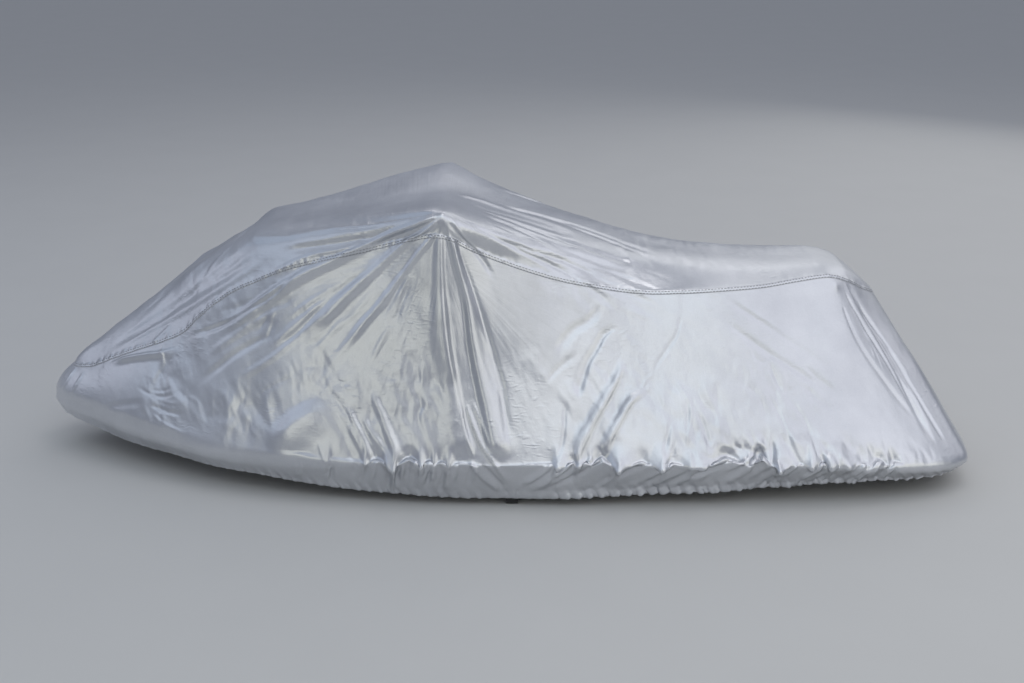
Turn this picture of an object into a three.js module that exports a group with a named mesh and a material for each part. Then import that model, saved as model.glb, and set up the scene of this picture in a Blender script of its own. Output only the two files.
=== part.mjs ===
// Fitted cover for a personal watercraft, in the shape it takes when it is pulled over the craft.
// Millimetres: +X runs to the stern, -Y to port, +Z up. The origin lies under the middle of the cover,
// level with its lowest edge. The cover is hollow and open below.

import * as THREE from "three";

// Driving sizes.
const clothThickness = 2;
const seamGap = 0.3; // between panels, and between a tab and the hem
const hemThickness = 4; // at the edge, where the cloth is folded double round the elastic
const bumperTurn = 26; // cloth on each side of the bumper edge that is rounded
const layoutTilt = THREE.MathUtils.degToRad(19); // fold layouts lean back from upright by this
const endFade = 1.4; // sections over which folds die out at the two centre seams
const webbing = { x: 45, width: 38, thickness: 1.6, lap: 18, hang: 28 };
const starboardLifts = { shift: 70, share: 0.8 }; // the bumper's waves to starboard, against those to port

const clothColor = new THREE.Color(0.72, 0.74, 0.78);
const webbingColor = new THREE.Color(0.03, 0.03, 0.032);

// One row for each cross-section, from the nose to the middle of the stern. The seam joins the top panel
// to a side panel, the bumper is the edge where a side panel turns under, and the hem is its lower edge.
// Y values are half widths. The shoulder is the edge of the top panel's flat, bulge is how far the side
// stands out from a straight line, and steps is how many facets lie between this section and the next.
const sectionColumns = [
  "seamX", "seamY", "seamZ", "bumperX", "bumperY", "bumperZ", "hemX", "hemY", "hemZ",
  "shoulderY", "shoulderZ", "crownZ", "bulge", "steps",
];
const sections = [
  [-1437, 0, 280, -1522, 0, 156, -1499, 0, 116, 0, 280, 280, 14, 2],
  [-1423, 26, 283, -1485, 60, 160, -1465, 46, 113, 14, 295, 300, 14, 2],
  [-1393, 52, 288, -1415, 122, 161, -1405, 100, 107, 26, 320, 328, 14, 2],
  [-1345, 80, 302, -1335, 180, 158, -1330, 152, 100, 34, 352, 362, 16, 2],
  [-1264, 120, 344, -1246, 250, 151, -1243, 208, 86, 44, 412, 426, 18, 3],
  [-1166, 160, 390, -1150, 310, 146, -1145, 264, 80, 60, 482, 500, 16, 3],
  [-1075, 190, 428, -1065, 355, 139, -1062, 308, 78, 80, 545, 566, 12, 2],
  [-1005, 210, 465, -985, 395, 133, -983, 352, 74, 102, 602, 616, 8, 2],
  [-945, 224, 524, -930, 420, 130, -929, 380, 71, 124, 642, 656, 4, 2],
  [-844, 250, 604, -844, 455, 128, -844, 415, 68, 168, 708, 720, 0, 2],
  [-756, 272, 649, -756, 482, 131, -756, 442, 66, 200, 760, 772, -4, 3],
  [-639, 300, 701, -639, 518, 135, -639, 475, 56, 238, 786, 796, -8, 5],
  [-452, 332, 752, -452, 552, 139, -452, 508, 41, 290, 830, 826, -14, 5],
  [-272, 360, 802, -272, 577, 148, -272, 527, 34, 338, 872, 858, -18, 4],
  [-171, 376, 819, -171, 585, 150, -171, 533, 29, 360, 888, 868, -18, 4],
  [-82, 362, 776, -82, 588, 152, -82, 537, 27, 342, 850, 842, -16, 4],
  [8, 346, 736, 8, 590, 153, 8, 540, 27, 312, 814, 816, -14, 4],
  [119, 330, 692, 119, 591, 153, 119, 541, 29, 276, 776, 788, -12, 4],
  [243, 310, 654, 243, 591, 153, 243, 541, 33, 232, 742, 758, -10, 6],
  [431, 290, 619, 431, 588, 152, 431, 535, 43, 182, 694, 706, -8, 4],
  [569, 280, 615, 569, 584, 150, 569, 531, 48, 158, 668, 678, -8, 4],
  [704, 268, 619, 704, 578, 148, 704, 530, 51, 144, 655, 663, -6, 4],
  [833, 242, 623, 833, 571, 145, 833, 521, 58, 132, 650, 657, -6, 4],
  [940, 208, 631, 940, 563, 140, 940, 514, 61, 118, 653, 658, -6, 3],
  [1046, 178, 637, 1055, 554, 133, 1050, 505, 66, 108, 655, 659, -4, 3],
  [1106, 155, 619, 1175, 540, 121, 1165, 498, 70, 98, 641, 644, -2, 3],
  [1140, 132, 600, 1285, 517, 110, 1270, 478, 66, 84, 620, 623, 0, 2],
  [1176, 98, 575, 1385, 487, 102, 1365, 450, 63, 62, 592, 595, 2, 2],
  [1205, 66, 558, 1455, 448, 98, 1430, 415, 62, 42, 567, 570, 4, 2],
  [1227, 36, 545, 1499, 392, 98, 1471, 365, 60, 20, 549, 551, 4, 2],
  [1235, 16, 541, 1515, 230, 101, 1487, 220, 59, 8, 542, 543, 2, 2],
  [1240, 0, 538, 1518, 0, 103, 1490, 0, 59, 0, 538, 538, 0, 0],
];

// The waves of the bumper edge to port: how far it is drawn up the wall, or below 0 hangs under its line.
const liftColumns = ["x", "lift"];
const bumperLifts = [
  [-680, 0], [-600, 6], [-515, -5], [-430, 6], [-400, -3], [-365, 13], [-310, -21], [-265, 16],
  [-230, -9], [-190, 9], [-145, -9], [-120, 6], [-5, 0], [165, 5], [185, -12], [235, 11], [255, -4],
  [315, 20], [365, -21], [435, 10], [500, -16], [535, 6], [600, -9], [700, 22], [765, -3], [805, 28],
  [855, -22], [920, 3], [955, -14], [990, 6], [1030, -14], [1115, 6], [1135, -6], [1180, 14], [1240, 5],
  [1335, 0],
];

// One row for each fold: where it starts and ends, its half width there, how far it sways to its own
// right at the middle, and its height, which is below 0 for a trough. Rise is measured up the tilted layout.
const foldColumns = [
  "fromX", "fromRise", "toX", "toRise", "fromWidth", "toWidth", "sway", "height",
];
const portFolds = [
  [-157, 692, -75, -48, 16, 34, 34, 13], // main ridge below the handlebar end
  [-150, 633, -23, -9, 18, 40, 0, -15], // deep trough beside it
  [-142, 640, 0, 0, 14, 28, -12, 6],
  [-130, 639, 26, -4, 14, 26, -20, -8],
  [-198, 708, -664, 670, 12, 26, 0, -8], // fan towards the bow
  [-209, 700, -650, 649, 12, 26, 0, 6],
  [-307, 678, -671, 609, 14, 30, 0, -7],
  [-198, 690, -820, 395, 18, 48, 8, -19],
  [-198, 678, -560, 480, 14, 32, 10, 11],
  [-198, 646, -588, 428, 14, 36, 16, -13],
  [-198, 632, -495, 299, 14, 30, 10, -15],
  [-205, 604, -476, 275, 14, 28, 6, -9],
  [-646, 533, -995, 339, 26, 34, -42, -12], // under the seam at the hood
  [-635, 426, -942, 225, 34, 50, 0, 6],
  [-795, 680, -1245, 333, 26, 30, 0, -8], // along the slope of the bow
  [-756, 615, -1206, 332, 26, 30, 0, -8],
  [-1285, 292, -1050, 236, 26, 32, -10, -9],
  [-1124, 300, -1000, 40, 26, 30, 24, -6],
  [-495, 145, -395, -49, 24, 24, 0, -8], // rising from the bumper
  [-376, 172, -299, -41, 24, 24, 0, -8],
  [-291, 151, -221, -48, 22, 22, 0, -7],
  [376, 381, 204, 134, 20, 22, 0, -9],
  [396, 374, 221, -36, 20, 26, 0, -10],
  [400, 243, 251, -37, 18, 20, 0, 6],
  [443, 198, 296, -37, 20, 24, 0, -10],
  [572, 452, 454, 214, 20, 20, -12, -6],
  [549, 197, 559, -27, 20, 20, -24, -6],
  [-130, 810, 376, 662, 14, 26, 0, 8], // from the handlebar down to the seat
  [-130, 746, 556, 527, 14, 24, 0, -7],
  [-111, 709, 400, 553, 14, 24, 0, -7],
  [-132, 701, 331, 525, 14, 22, 0, -7],
  [707, 476, 971, 304, 26, 26, 0, -6], // side of the seat
  [790, 305, 880, 170, 24, 24, 0, -7],
  [1079, 512, 1320, -23, 16, 20, 0, -6], // from the seat's back corner to the stern
  [1111, 510, 1400, -13, 14, 20, 0, -7],
  [1146, 506, 1441, -13, 14, 20, 0, -6],
];
const starboardFolds = [
  [-162, 690, -110, -40, 16, 36, 20, 12],
  [-152, 640, -50, -10, 18, 42, 0, -14],
  [-138, 640, 10, -20, 14, 28, -16, -7],
  [-198, 704, -640, 640, 14, 30, 0, -8],
  [-198, 685, -780, 430, 18, 44, 12, -14],
  [-198, 660, -600, 350, 14, 34, 10, -11],
  [-200, 625, -430, 260, 14, 30, 6, -9],
  [-670, 520, -1010, 320, 26, 34, -30, -10],
  [-820, 660, -1230, 340, 26, 30, 0, -8],
  [-420, 160, -350, -45, 26, 24, 0, -8],
  [350, 360, 190, 20, 22, 28, 0, -10],
  [430, 300, 300, -30, 22, 26, 0, -9],
  [600, 420, 520, 120, 24, 24, 14, -7],
  [-120, 700, 380, 540, 14, 24, 0, -7],
  [760, 430, 930, 220, 26, 26, 0, -7],
  [1085, 512, 1340, -20, 16, 22, 0, -7],
  [1130, 508, 1425, -12, 14, 22, 0, -6],
];

// Facet rows across the cloth: shares of the way over the top panel, down the wall of a side panel, round
// the bumper's turn, and on to the hem.
const topRows = [-1, -0.82, -0.64, -0.44, -0.22, 0, 0.22, 0.44, 0.64, 0.82, 1];
const wallRows = 10;
const underRows = [0, 0.76, 1];

// Named rows from a table.
function rowsOf(columns, table) {
  return table.map((row) => Object.fromEntries(columns.map((name, i) => [name, row[i]])));
}

// A smooth curve through values at the given knots.
function through(knots, values, at) {
  const last = knots.length - 1;
  let i = 0;
  while (i < last - 1 && at > knots[i + 1]) i += 1;
  const slope = (k) => {
    const before = Math.max(k - 1, 0);
    const after = Math.min(k + 1, last);
    return (values[after] - values[before]) / (knots[after] - knots[before]);
  };
  const span = knots[i + 1] - knots[i];
  const t = (at - knots[i]) / span;
  const t2 = t * t;
  const t3 = t2 * t;
  return (
    values[i] * (2 * t3 - 3 * t2 + 1) +
    slope(i) * span * (t3 - 2 * t2 + t) +
    values[i + 1] * (3 * t2 - 2 * t3) +
    slope(i + 1) * span * (t3 - t2)
  );
}

// The value of straight lines through rows of x and lift, and 0 past both ends.
function liftAt(x) {
  const next = liftRows.findIndex((row) => row.x > x);
  if (next < 1) return 0;
  const [before, after] = [liftRows[next - 1], liftRows[next]];
  return THREE.MathUtils.mapLinear(x, before.x, after.x, before.lift, after.lift);
}

const liftRows = rowsOf(liftColumns, bumperLifts);
const sectionRows = rowsOf(sectionColumns, sections);
const stations = sectionRows.map((row, i) => i);
const lastStation = stations.length - 1;
const sectionValues = Object.fromEntries(
  sectionColumns.map((name) => [name, sectionRows.map((row) => row[name])]),
);

// The section at a station, whole numbers being the rows of the table.
function sectionAt(station) {
  return Object.fromEntries(
    sectionColumns.map((name) => [name, through(stations, sectionValues[name], station)]),
  );
}

// A point on the top panel, across from -1 at the port seam to 1 at the starboard seam.
function topPoint(section, across) {
  const knots = [-1, -0.6, 0, 0.6, 1];
  const { seamY, seamZ, shoulderY, shoulderZ, crownZ } = section;
  const y = through(knots, [-seamY, -shoulderY, 0, shoulderY, seamY], across);
  const z = through(knots, [seamZ, shoulderZ, crownZ, shoulderZ, seamZ], across);
  return new THREE.Vector3(section.seamX, y, z);
}

// A side panel's seam, bumper and hem points, the shares of its two legs that are rounded off at the
// bumper, and the way in which its wall bulges. Side is -1 for port and 1 for starboard.
function sideLegs(section, side) {
  const seam = new THREE.Vector3(section.seamX, side * section.seamY, section.seamZ);
  const bumper = new THREE.Vector3(section.bumperX, side * section.bumperY, section.bumperZ);
  const hem = new THREE.Vector3(section.hemX, side * section.hemY, section.hemZ);
  const { shift, share } = starboardLifts;
  const lift = side < 0 ? liftAt(bumper.x) : share * liftAt(bumper.x - shift);
  const drawnTo = lift > 0 ? seam : hem;
  bumper.lerp(drawnTo, Math.abs(lift) / drawnTo.distanceTo(bumper));
  const run = Math.hypot(bumper.x - seam.x, bumper.y - seam.y);
  const drop = seam.z - bumper.z;
  const out = new THREE.Vector3(bumper.x - seam.x, bumper.y - seam.y, 0)
    .multiplyScalar(drop / run)
    .setZ(run)
    .normalize();
  const turnAbove = bumperTurn / seam.distanceTo(bumper);
  const turnBelow = Math.min(bumperTurn / hem.distanceTo(bumper), 0.45);
  return { seam, bumper, hem, out, turnAbove, turnBelow, bulge: section.bulge };
}

// A point on a side panel, down from 0 at the seam through 1 at the bumper to 2 at the hem.
function sidePoint(legs, down) {
  const { seam, bumper, hem, out, turnAbove, turnBelow, bulge } = legs;
  const point = new THREE.Vector3();
  if (down < 1 - turnAbove) point.lerpVectors(seam, bumper, down);
  else if (down > 1 + turnBelow) point.lerpVectors(bumper, hem, down - 1);
  else {
    const start = bumper.clone().lerp(seam, turnAbove);
    const end = bumper.clone().lerp(hem, turnBelow);
    const t = (down - 1 + turnAbove) / (turnAbove + turnBelow);
    point.copy(start.lerp(bumper, t)).lerp(bumper.clone().lerp(end, t), t);
  }
  return point.addScaledVector(out, bulge * Math.sin(Math.PI * Math.min(down, 1)));
}

// How far down a side panel each facet row lies, from the seam to the hem.
function downRows(legs) {
  const { turnAbove, turnBelow } = legs;
  const rows = [];
  for (let i = 0; i <= wallRows; i += 1) rows.push((i / wallRows) * (1 - turnAbove));
  rows.push(1 + (turnBelow - turnAbove) / 2);
  for (const share of underRows) rows.push(1 + turnBelow + share * (1 - turnBelow));
  return rows;
}

// One column of points from the port hem over the top to the starboard hem. Girth is 0 at the crown,
// 1 at a seam, 2 at a bumper and 3 at a hem, and below 0 to port.
function columnAt(station) {
  const section = sectionAt(station);
  const sides = [-1, 1].map((side) => {
    const legs = sideLegs(section, side);
    return downRows(legs).map((down) => ({
      girth: side * (1 + down),
      point: sidePoint(legs, down),
    }));
  });
  const top = topRows.slice(1, -1).map((across) => ({
    girth: across,
    point: topPoint(section, across),
  }));
  return [...sides[0].reverse(), ...top, ...sides[1]].map((entry) => ({ ...entry, station }));
}

// The height of all folds of one table at a place in the tilted layout.
function foldHeight(folds, x, rise) {
  let height = 0;
  for (const fold of folds) {
    const runX = fold.toX - fold.fromX;
    const runRise = fold.toRise - fold.fromRise;
    const length = Math.hypot(runX, runRise);
    const offX = x - fold.fromX;
    const offRise = rise - fold.fromRise;
    const along = (offX * runX + offRise * runRise) / length ** 2;
    if (along <= 0 || along >= 1) continue;
    const bow = 4 * fold.sway * along * (1 - along);
    const aside = (offX * runRise - offRise * runX) / length - bow;
    const width = THREE.MathUtils.lerp(fold.fromWidth, fold.toWidth, along);
    if (Math.abs(aside) >= width) continue;
    const fade = THREE.MathUtils.smoothstep(Math.min(along, 1 - along), 0, 0.14);
    height += fold.height * fade * 0.5 * (1 + Math.cos((Math.PI * aside) / width));
  }
  return height;
}

const foldRows = {
  port: rowsOf(foldColumns, portFolds),
  starboard: rowsOf(foldColumns, starboardFolds),
};

// The folds of the port table reach over the crown, and those of the starboard table stop short of it.
function foldAt({ girth, point, station }) {
  const { smoothstep } = THREE.MathUtils;
  const lean = point.y * Math.sin(layoutTilt);
  const upright = point.z * Math.cos(layoutTilt);
  const port = foldHeight(foldRows.port, point.x, upright + lean);
  const starboard = foldHeight(foldRows.starboard, point.x, upright - lean);
  const fromEnds = smoothstep(Math.min(station, lastStation - station), 0, endFade);
  return fromEnds * (port * (1 - smoothstep(girth, 0.4, 0.95)) + starboard * smoothstep(girth, -0.2, 0.3));
}

// The stations of all columns.
function columnStations() {
  const list = [];
  sectionRows.slice(0, -1).forEach((row, i) => {
    for (let k = 0; k < row.steps; k += 1) list.push(i + k / row.steps);
  });
  return [...list, lastStation];
}

// Triangles over a block of the grid, facing out, without those that a pointed end collapses.
function trianglesOver(columns, firstRow, lastRow, indexOf) {
  const triangles = [];
  const add = (a, b, c) => {
    if (a !== b && b !== c && c !== a) triangles.push([a, b, c]);
  };
  for (let i = 0; i < columns.length - 1; i += 1) {
    for (let r = firstRow; r < lastRow; r += 1) {
      const [a, b] = [indexOf(i, r), indexOf(i + 1, r)];
      const [c, d] = [indexOf(i + 1, r + 1), indexOf(i, r + 1)];
      add(a, b, c);
      add(a, c, d);
    }
  }
  return triangles;
}

// A numbering that gives points in the same place the same number.
function numbering(places) {
  const numbers = new Map();
  const keyOf = (p) => p.toArray().map((v) => Math.round(v * 1000)).join(" ");
  const points = [];
  const ids = places.map((column) =>
    column.map((p) => {
      const key = keyOf(p);
      if (!numbers.has(key)) {
        numbers.set(key, points.length);
        points.push(p);
      }
      return numbers.get(key);
    }),
  );
  return { points, indexOf: (i, r) => ids[i][r] };
}

// Normals of a grid, with the two edges that close on each other at the centre seams smoothed as one.
function gridNormals(places) {
  const { points, indexOf } = numbering(places);
  const normals = points.map(() => new THREE.Vector3());
  for (const [a, b, c] of trianglesOver(places, 0, places[0].length - 1, indexOf)) {
    const ab = points[b].clone().sub(points[a]);
    const face = ab.cross(points[c].clone().sub(points[a]));
    for (const k of [a, b, c]) normals[k].add(face);
  }
  normals.forEach((normal) => normal.normalize());
  return places.map((column, i) => column.map((p, r) => normals[indexOf(i, r)]));
}

// A closed sheet: the outer face, the inner face a thickness below it, and a wall round the open edge.
function sheetGeometry(outer, inner, triangles) {
  const count = outer.length;
  const edges = new Map();
  for (const [a, b, c] of triangles) {
    for (const [from, to] of [[a, b], [b, c], [c, a]]) {
      const back = `${to} ${from}`;
      if (edges.has(back)) edges.delete(back);
      else edges.set(`${from} ${to}`, [from, to]);
    }
  }
  const faces = triangles.flatMap(([a, b, c]) => [a, b, c, a + count, c + count, b + count]);
  for (const [from, to] of edges.values()) {
    faces.push(from, from + count, to + count, from, to + count, to);
  }
  const positions = [...outer, ...inner].flatMap((p) => p.toArray());
  const geometry = new THREE.BufferGeometry();
  geometry.setAttribute("position", new THREE.Float32BufferAttribute(positions, 3));
  geometry.setIndex(faces);
  geometry.computeVertexNormals();
  return geometry;
}

function clothMaterial() {
  return new THREE.MeshStandardMaterial({ color: clothColor, roughness: 0.42, metalness: 0.35 });
}

// The whole cloth as one folded grid, from which the panels are cut along the seams.
function foldedGrid() {
  const columns = columnStations().map(columnAt);
  const normals = gridNormals(columns.map((column) => column.map((entry) => entry.point)));
  const places = columns.map((column, i) =>
    column.map((entry, r) => entry.point.clone().addScaledVector(normals[i][r], foldAt(entry))),
  );
  return { columns, places, normals: gridNormals(places) };
}

// A panel cut from the grid between two rows. Its edges at seams stand back by half the gap.
function panel(name, grid, firstRow, lastRow, openRow) {
  const { columns, places, normals } = grid;
  const lastColumn = columns.length - 1;
  const setBack = (from, towards) => {
    const step = towards.clone().sub(from);
    const length = step.length();
    return length > seamGap ? step.multiplyScalar((0.75 * seamGap) / length) : step.set(0, 0, 0);
  };
  const outer = [];
  const inner = [];
  for (let i = 0; i <= lastColumn; i += 1) {
    outer.push([]);
    inner.push([]);
    for (let r = firstRow; r <= lastRow; r += 1) {
      const place = places[i][r].clone();
      const atSeam = r !== openRow && (r === firstRow || r === lastRow);
      if (atSeam) place.add(setBack(places[i][r], places[i][r === firstRow ? r + 1 : r - 1]));
      if (i === 0 || i === lastColumn) {
        place.add(setBack(places[i][r], places[i === 0 ? 1 : lastColumn - 1][r]));
      }
      const thickness = r === openRow ? hemThickness : clothThickness;
      const normal = normals[i][r].clone();
      if (i === 0 || i === lastColumn) normal.setY(0).normalize();
      outer[i].push(place);
      inner[i].push(place.clone().addScaledVector(normal, -thickness));
    }
  }
  const { points, indexOf } = numbering(outer);
  const innerPoints = [];
  outer.forEach((column, i) =>
    column.forEach((p, k) => {
      innerPoints[indexOf(i, k)] ??= inner[i][k];
    }),
  );
  const triangles = trianglesOver(columns, 0, lastRow - firstRow, indexOf);
  const mesh = new THREE.Mesh(sheetGeometry(points, innerPoints, triangles), clothMaterial());
  mesh.name = name;
  return mesh;
}

// A short flat end of webbing that is sewn inside the hem and hangs below it.
function webbingTab(name, side) {
  const place = stations.findIndex((i) => sectionRows[i].seamX > webbing.x) - 1;
  const share =
    (webbing.x - sectionRows[place].seamX) /
    (sectionRows[place + 1].seamX - sectionRows[place].seamX);
  const { bumper, hem } = sideLegs(sectionAt(place + share), side);
  const down = hem.clone().sub(bumper).normalize();
  const inward = new THREE.Vector3(1, 0, 0).cross(down).multiplyScalar(-side);
  const depth = hemThickness + seamGap + webbing.thickness / 2;
  const geometry = new THREE.BoxGeometry(webbing.width, webbing.thickness, webbing.lap + webbing.hang);
  const material = new THREE.MeshStandardMaterial({ color: webbingColor, roughness: 0.85, metalness: 0 });
  const mesh = new THREE.Mesh(geometry, material);
  mesh.name = name;
  mesh.position
    .copy(hem)
    .addScaledVector(down, (webbing.hang - webbing.lap) / 2)
    .addScaledVector(inward, depth);
  mesh.rotation.x = Math.atan2(down.y, -down.z);
  return mesh;
}

const grid = foldedGrid();
const rowCount = grid.columns[0].length;
const portSeamRow = wallRows + 1 + underRows.length;
const starboardSeamRow = rowCount - 1 - portSeamRow;

const cover = new THREE.Group();
cover.add(
  panel("port_panel", grid, 0, portSeamRow, 0),
  panel("top_panel", grid, portSeamRow, starboardSeamRow, -1),
  panel("starboard_panel", grid, starboardSeamRow, rowCount - 1, rowCount - 1),
  webbingTab("port_tab", -1),
  webbingTab("starboard_tab", 1),
);

export default cover;
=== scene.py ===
# A fitted cover for a personal watercraft, as it lies when it is drawn over the craft: silver coated cloth
# in a top panel and two side panels, gathered along its hem by an elastic.
# +X runs to the stern, -Y to port and +Z up. Tables are in millimetres, and mm turns them into metres.
import math

import bpy
import numpy as np
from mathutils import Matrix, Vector


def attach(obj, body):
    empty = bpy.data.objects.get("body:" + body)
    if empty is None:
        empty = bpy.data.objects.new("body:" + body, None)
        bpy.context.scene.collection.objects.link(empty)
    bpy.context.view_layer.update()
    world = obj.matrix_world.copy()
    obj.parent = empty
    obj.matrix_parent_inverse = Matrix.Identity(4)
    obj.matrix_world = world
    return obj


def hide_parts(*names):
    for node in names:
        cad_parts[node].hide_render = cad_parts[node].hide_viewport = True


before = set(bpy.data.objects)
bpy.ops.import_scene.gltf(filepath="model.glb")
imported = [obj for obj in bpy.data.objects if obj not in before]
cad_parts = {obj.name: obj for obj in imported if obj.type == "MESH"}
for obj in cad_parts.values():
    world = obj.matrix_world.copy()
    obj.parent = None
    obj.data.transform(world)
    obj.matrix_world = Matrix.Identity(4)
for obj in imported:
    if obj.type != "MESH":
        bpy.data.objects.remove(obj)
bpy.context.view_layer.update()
mm = 0.001
body = "root"
print("frame loaded")


# Camera: square to the port side and a little above it
camera = {
    "imageWidth": 1024,
    "focalPixels": 1363,
    "sensor": 36,
    "elevation": 19,
    "distance": 4.6,
    "aim": (0.045, 0.0, 0.35),
}


def placeCamera(c):
    data = bpy.data.cameras.new("camera")
    data.sensor_width = c["sensor"]
    data.lens = c["sensor"] * c["focalPixels"] / c["imageWidth"]
    data.clip_end = 200
    obj = bpy.data.objects.new("camera", data)
    tilt = math.radians(c["elevation"])
    x, y, z = c["aim"]
    back, up = c["distance"] * math.cos(tilt), c["distance"] * math.sin(tilt)
    obj.location = (x, y - back, z + up)
    obj.rotation_euler = (math.pi / 2 - tilt, 0, 0)
    bpy.context.scene.collection.objects.link(obj)
    bpy.context.scene.camera = obj


placeCamera(camera)
print("camera placed")


# The form that the craft gives the cloth. One row for each cross-section from the nose to the stern, with
# Y values as half widths. The bumper is the edge where a side turns under, and the hem its lower edge.
formColumns = (
    "seamX seamY seamZ bumperX bumperY bumperZ hemX hemY hemZ shoulderY shoulderZ crownZ bulge"
).split()
formRows = [
    [-1437, 0, 280, -1522, 0, 156, -1499, 0, 116, 0, 280, 280, 14],
    [-1423, 26, 283, -1485, 60, 160, -1465, 46, 113, 14, 295, 300, 14],
    [-1393, 52, 288, -1415, 122, 161, -1405, 100, 107, 26, 320, 328, 14],
    [-1345, 80, 302, -1335, 180, 158, -1330, 152, 100, 34, 352, 362, 16],
    [-1264, 120, 344, -1246, 250, 151, -1243, 208, 86, 44, 412, 426, 18],
    [-1166, 160, 390, -1150, 310, 146, -1145, 264, 80, 60, 482, 500, 16],
    [-1075, 190, 428, -1065, 355, 139, -1062, 308, 78, 80, 545, 566, 12],
    [-1005, 210, 465, -985, 395, 133, -983, 352, 74, 102, 602, 616, 8],
    [-945, 224, 524, -930, 420, 130, -929, 380, 71, 124, 642, 656, 4],
    [-844, 250, 604, -844, 455, 128, -844, 415, 68, 168, 708, 720, 0],
    [-756, 272, 649, -756, 482, 131, -756, 442, 66, 200, 760, 772, -4],
    [-639, 300, 701, -639, 518, 135, -639, 475, 56, 238, 786, 796, -8],
    [-452, 332, 752, -452, 552, 139, -452, 508, 41, 290, 830, 826, -14],
    [-272, 360, 802, -272, 577, 148, -272, 527, 34, 338, 872, 858, -18],
    [-171, 376, 819, -171, 585, 150, -171, 533, 29, 360, 888, 868, -18],
    [-82, 362, 776, -82, 588, 152, -82, 537, 27, 342, 850, 842, -16],
    [8, 346, 736, 8, 590, 153, 8, 540, 27, 312, 814, 816, -14],
    [119, 330, 692, 119, 591, 153, 119, 541, 29, 276, 776, 788, -12],
    [243, 310, 654, 243, 591, 153, 243, 541, 33, 232, 742, 758, -10],
    [431, 290, 619, 431, 588, 152, 431, 535, 43, 182, 694, 706, -8],
    [569, 280, 615, 569, 584, 150, 569, 531, 48, 158, 668, 678, -8],
    [704, 268, 619, 704, 578, 148, 704, 530, 51, 144, 655, 663, -6],
    [833, 242, 623, 833, 571, 145, 833, 521, 58, 132, 650, 657, -6],
    [940, 208, 631, 940, 563, 140, 940, 514, 61, 118, 653, 658, -6],
    [1046, 178, 637, 1055, 554, 133, 1050, 505, 66, 108, 655, 659, -4],
    [1106, 155, 619, 1175, 540, 121, 1165, 498, 70, 98, 641, 644, -2],
    [1140, 132, 600, 1285, 517, 110, 1270, 478, 66, 84, 620, 623, 0],
    [1176, 98, 575, 1385, 487, 102, 1365, 450, 63, 62, 592, 595, 2],
    [1205, 66, 558, 1455, 448, 98, 1430, 415, 62, 42, 567, 570, 4],
    [1227, 36, 545, 1499, 392, 98, 1471, 365, 60, 20, 549, 551, 4],
    [1235, 16, 541, 1515, 230, 101, 1487, 220, 59, 8, 542, 543, 2],
    [1240, 0, 538, 1518, 0, 103, 1490, 0, 59, 0, 538, 538, 0],
]

# How wide the bumper's rounding is on each side of the edge, along the cover.
turnColumns = "x turn".split()
turnRows = [
    [-1520, 44], [-1250, 52], [-900, 44], [-600, 28], [-450, 12], [-330, 5], [900, 5], [1200, 16],
    [1520, 40],
]

# The waves of the bumper edge to port: how far it is drawn up the wall, or below 0 hangs under its line.
# Round is 1 where the line between two rows is straight, and more where it arches over a hollow.
waveColumns = "x lift round".split()
waveRows = [
    [-680, 0, 1], [-600, 6, 2], [-515, -5, 1], [-500, 5, 2], [-430, 6, 2], [-400, -3, 1], [-366, 13, 2],
    [-328, -11, 1], [-311, -21, 1], [-296, 3, 2], [-264, 16, 2], [-230, -9, 1], [-204, 10, 2],
    [-190, -3, 1], [-170, 8, 2], [-144, -9, 1], [-119, 6, 2], [-77, 3, 1], [-4, 0, 1], [11, 1, 1],
    [165, 5, 1], [180, -12, 1], [231, 11, 1], [245, -8, 1], [269, 6, 1.4], [284, 1, 1], [316, 20, 1.4],
    [365, -21, 1], [436, 10, 1.4], [498, -16, 1], [534, 6, 1.6], [585, -9, 1], [618, -9, 1],
    [654, 3, 1.3], [702, 22, 1.3], [764, -3, 1], [803, 28, 1.2], [827, 3, 1], [854, -22, 1],
    [921, 3, 1.4], [955, -14, 1], [991, 6, 1.4], [1016, -16, 1], [1040, -2, 1.4], [1073, -13, 1],
    [1113, 6, 1.4], [1137, -6, 1], [1180, 14, 1.4], [1201, -3, 1], [1222, 12, 1.4], [1253, -1, 1],
    [1335, 0, 1],
]

# Change one to draw that relief anew.
seeds = {
    "portRays": 3,
    "starboardRays": 5,
    "portRisers": 7,
    "starboardRisers": 8,
    "relief": 11,
    "puckers": 21,  # and the three after it
    "shirring": 25,  # and the three after it
    "portCrimps": 31,
    "starboardCrimps": 32,
    "wideCrimps": 33,
    "portCrumples": 100,
    "starboardCrumples": 200,
}

grid = {
    "columns": 860,  # along the cover
    "wallRows": 74,
    "turnRows": 9,
    "underRows": 13,
    "topRows": 108,
    "layoutTilt": 19,  # fold layouts lean back from upright by this
    "endFade": 1.2,  # sections over which folds die out at the two centre seams
    "starboardShift": 70,  # the bumper's waves to starboard, against those to port
    "starboardShare": 0.8,
    "waveReach": 80,  # how far up a side the waves are felt
    "waveDent": 0.5,
    "waveLift": 1.45,
    "mostTurn": 0.45,  # the share of the turned-under cloth that the bumper's rounding may take
    "shoulderShare": 0.6,  # how far out from the crown the shoulders lie
    "fineStations": 4000,  # for spacing the columns evenly
    "portFades": (0.4, 0.95),  # the girths over which port's folds end, and starboard's begin
    "starboardRises": (-0.2, 0.3),
}


def columnsOf(names, rows):
    return dict(zip(names, np.array(rows, float).T))


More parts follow.
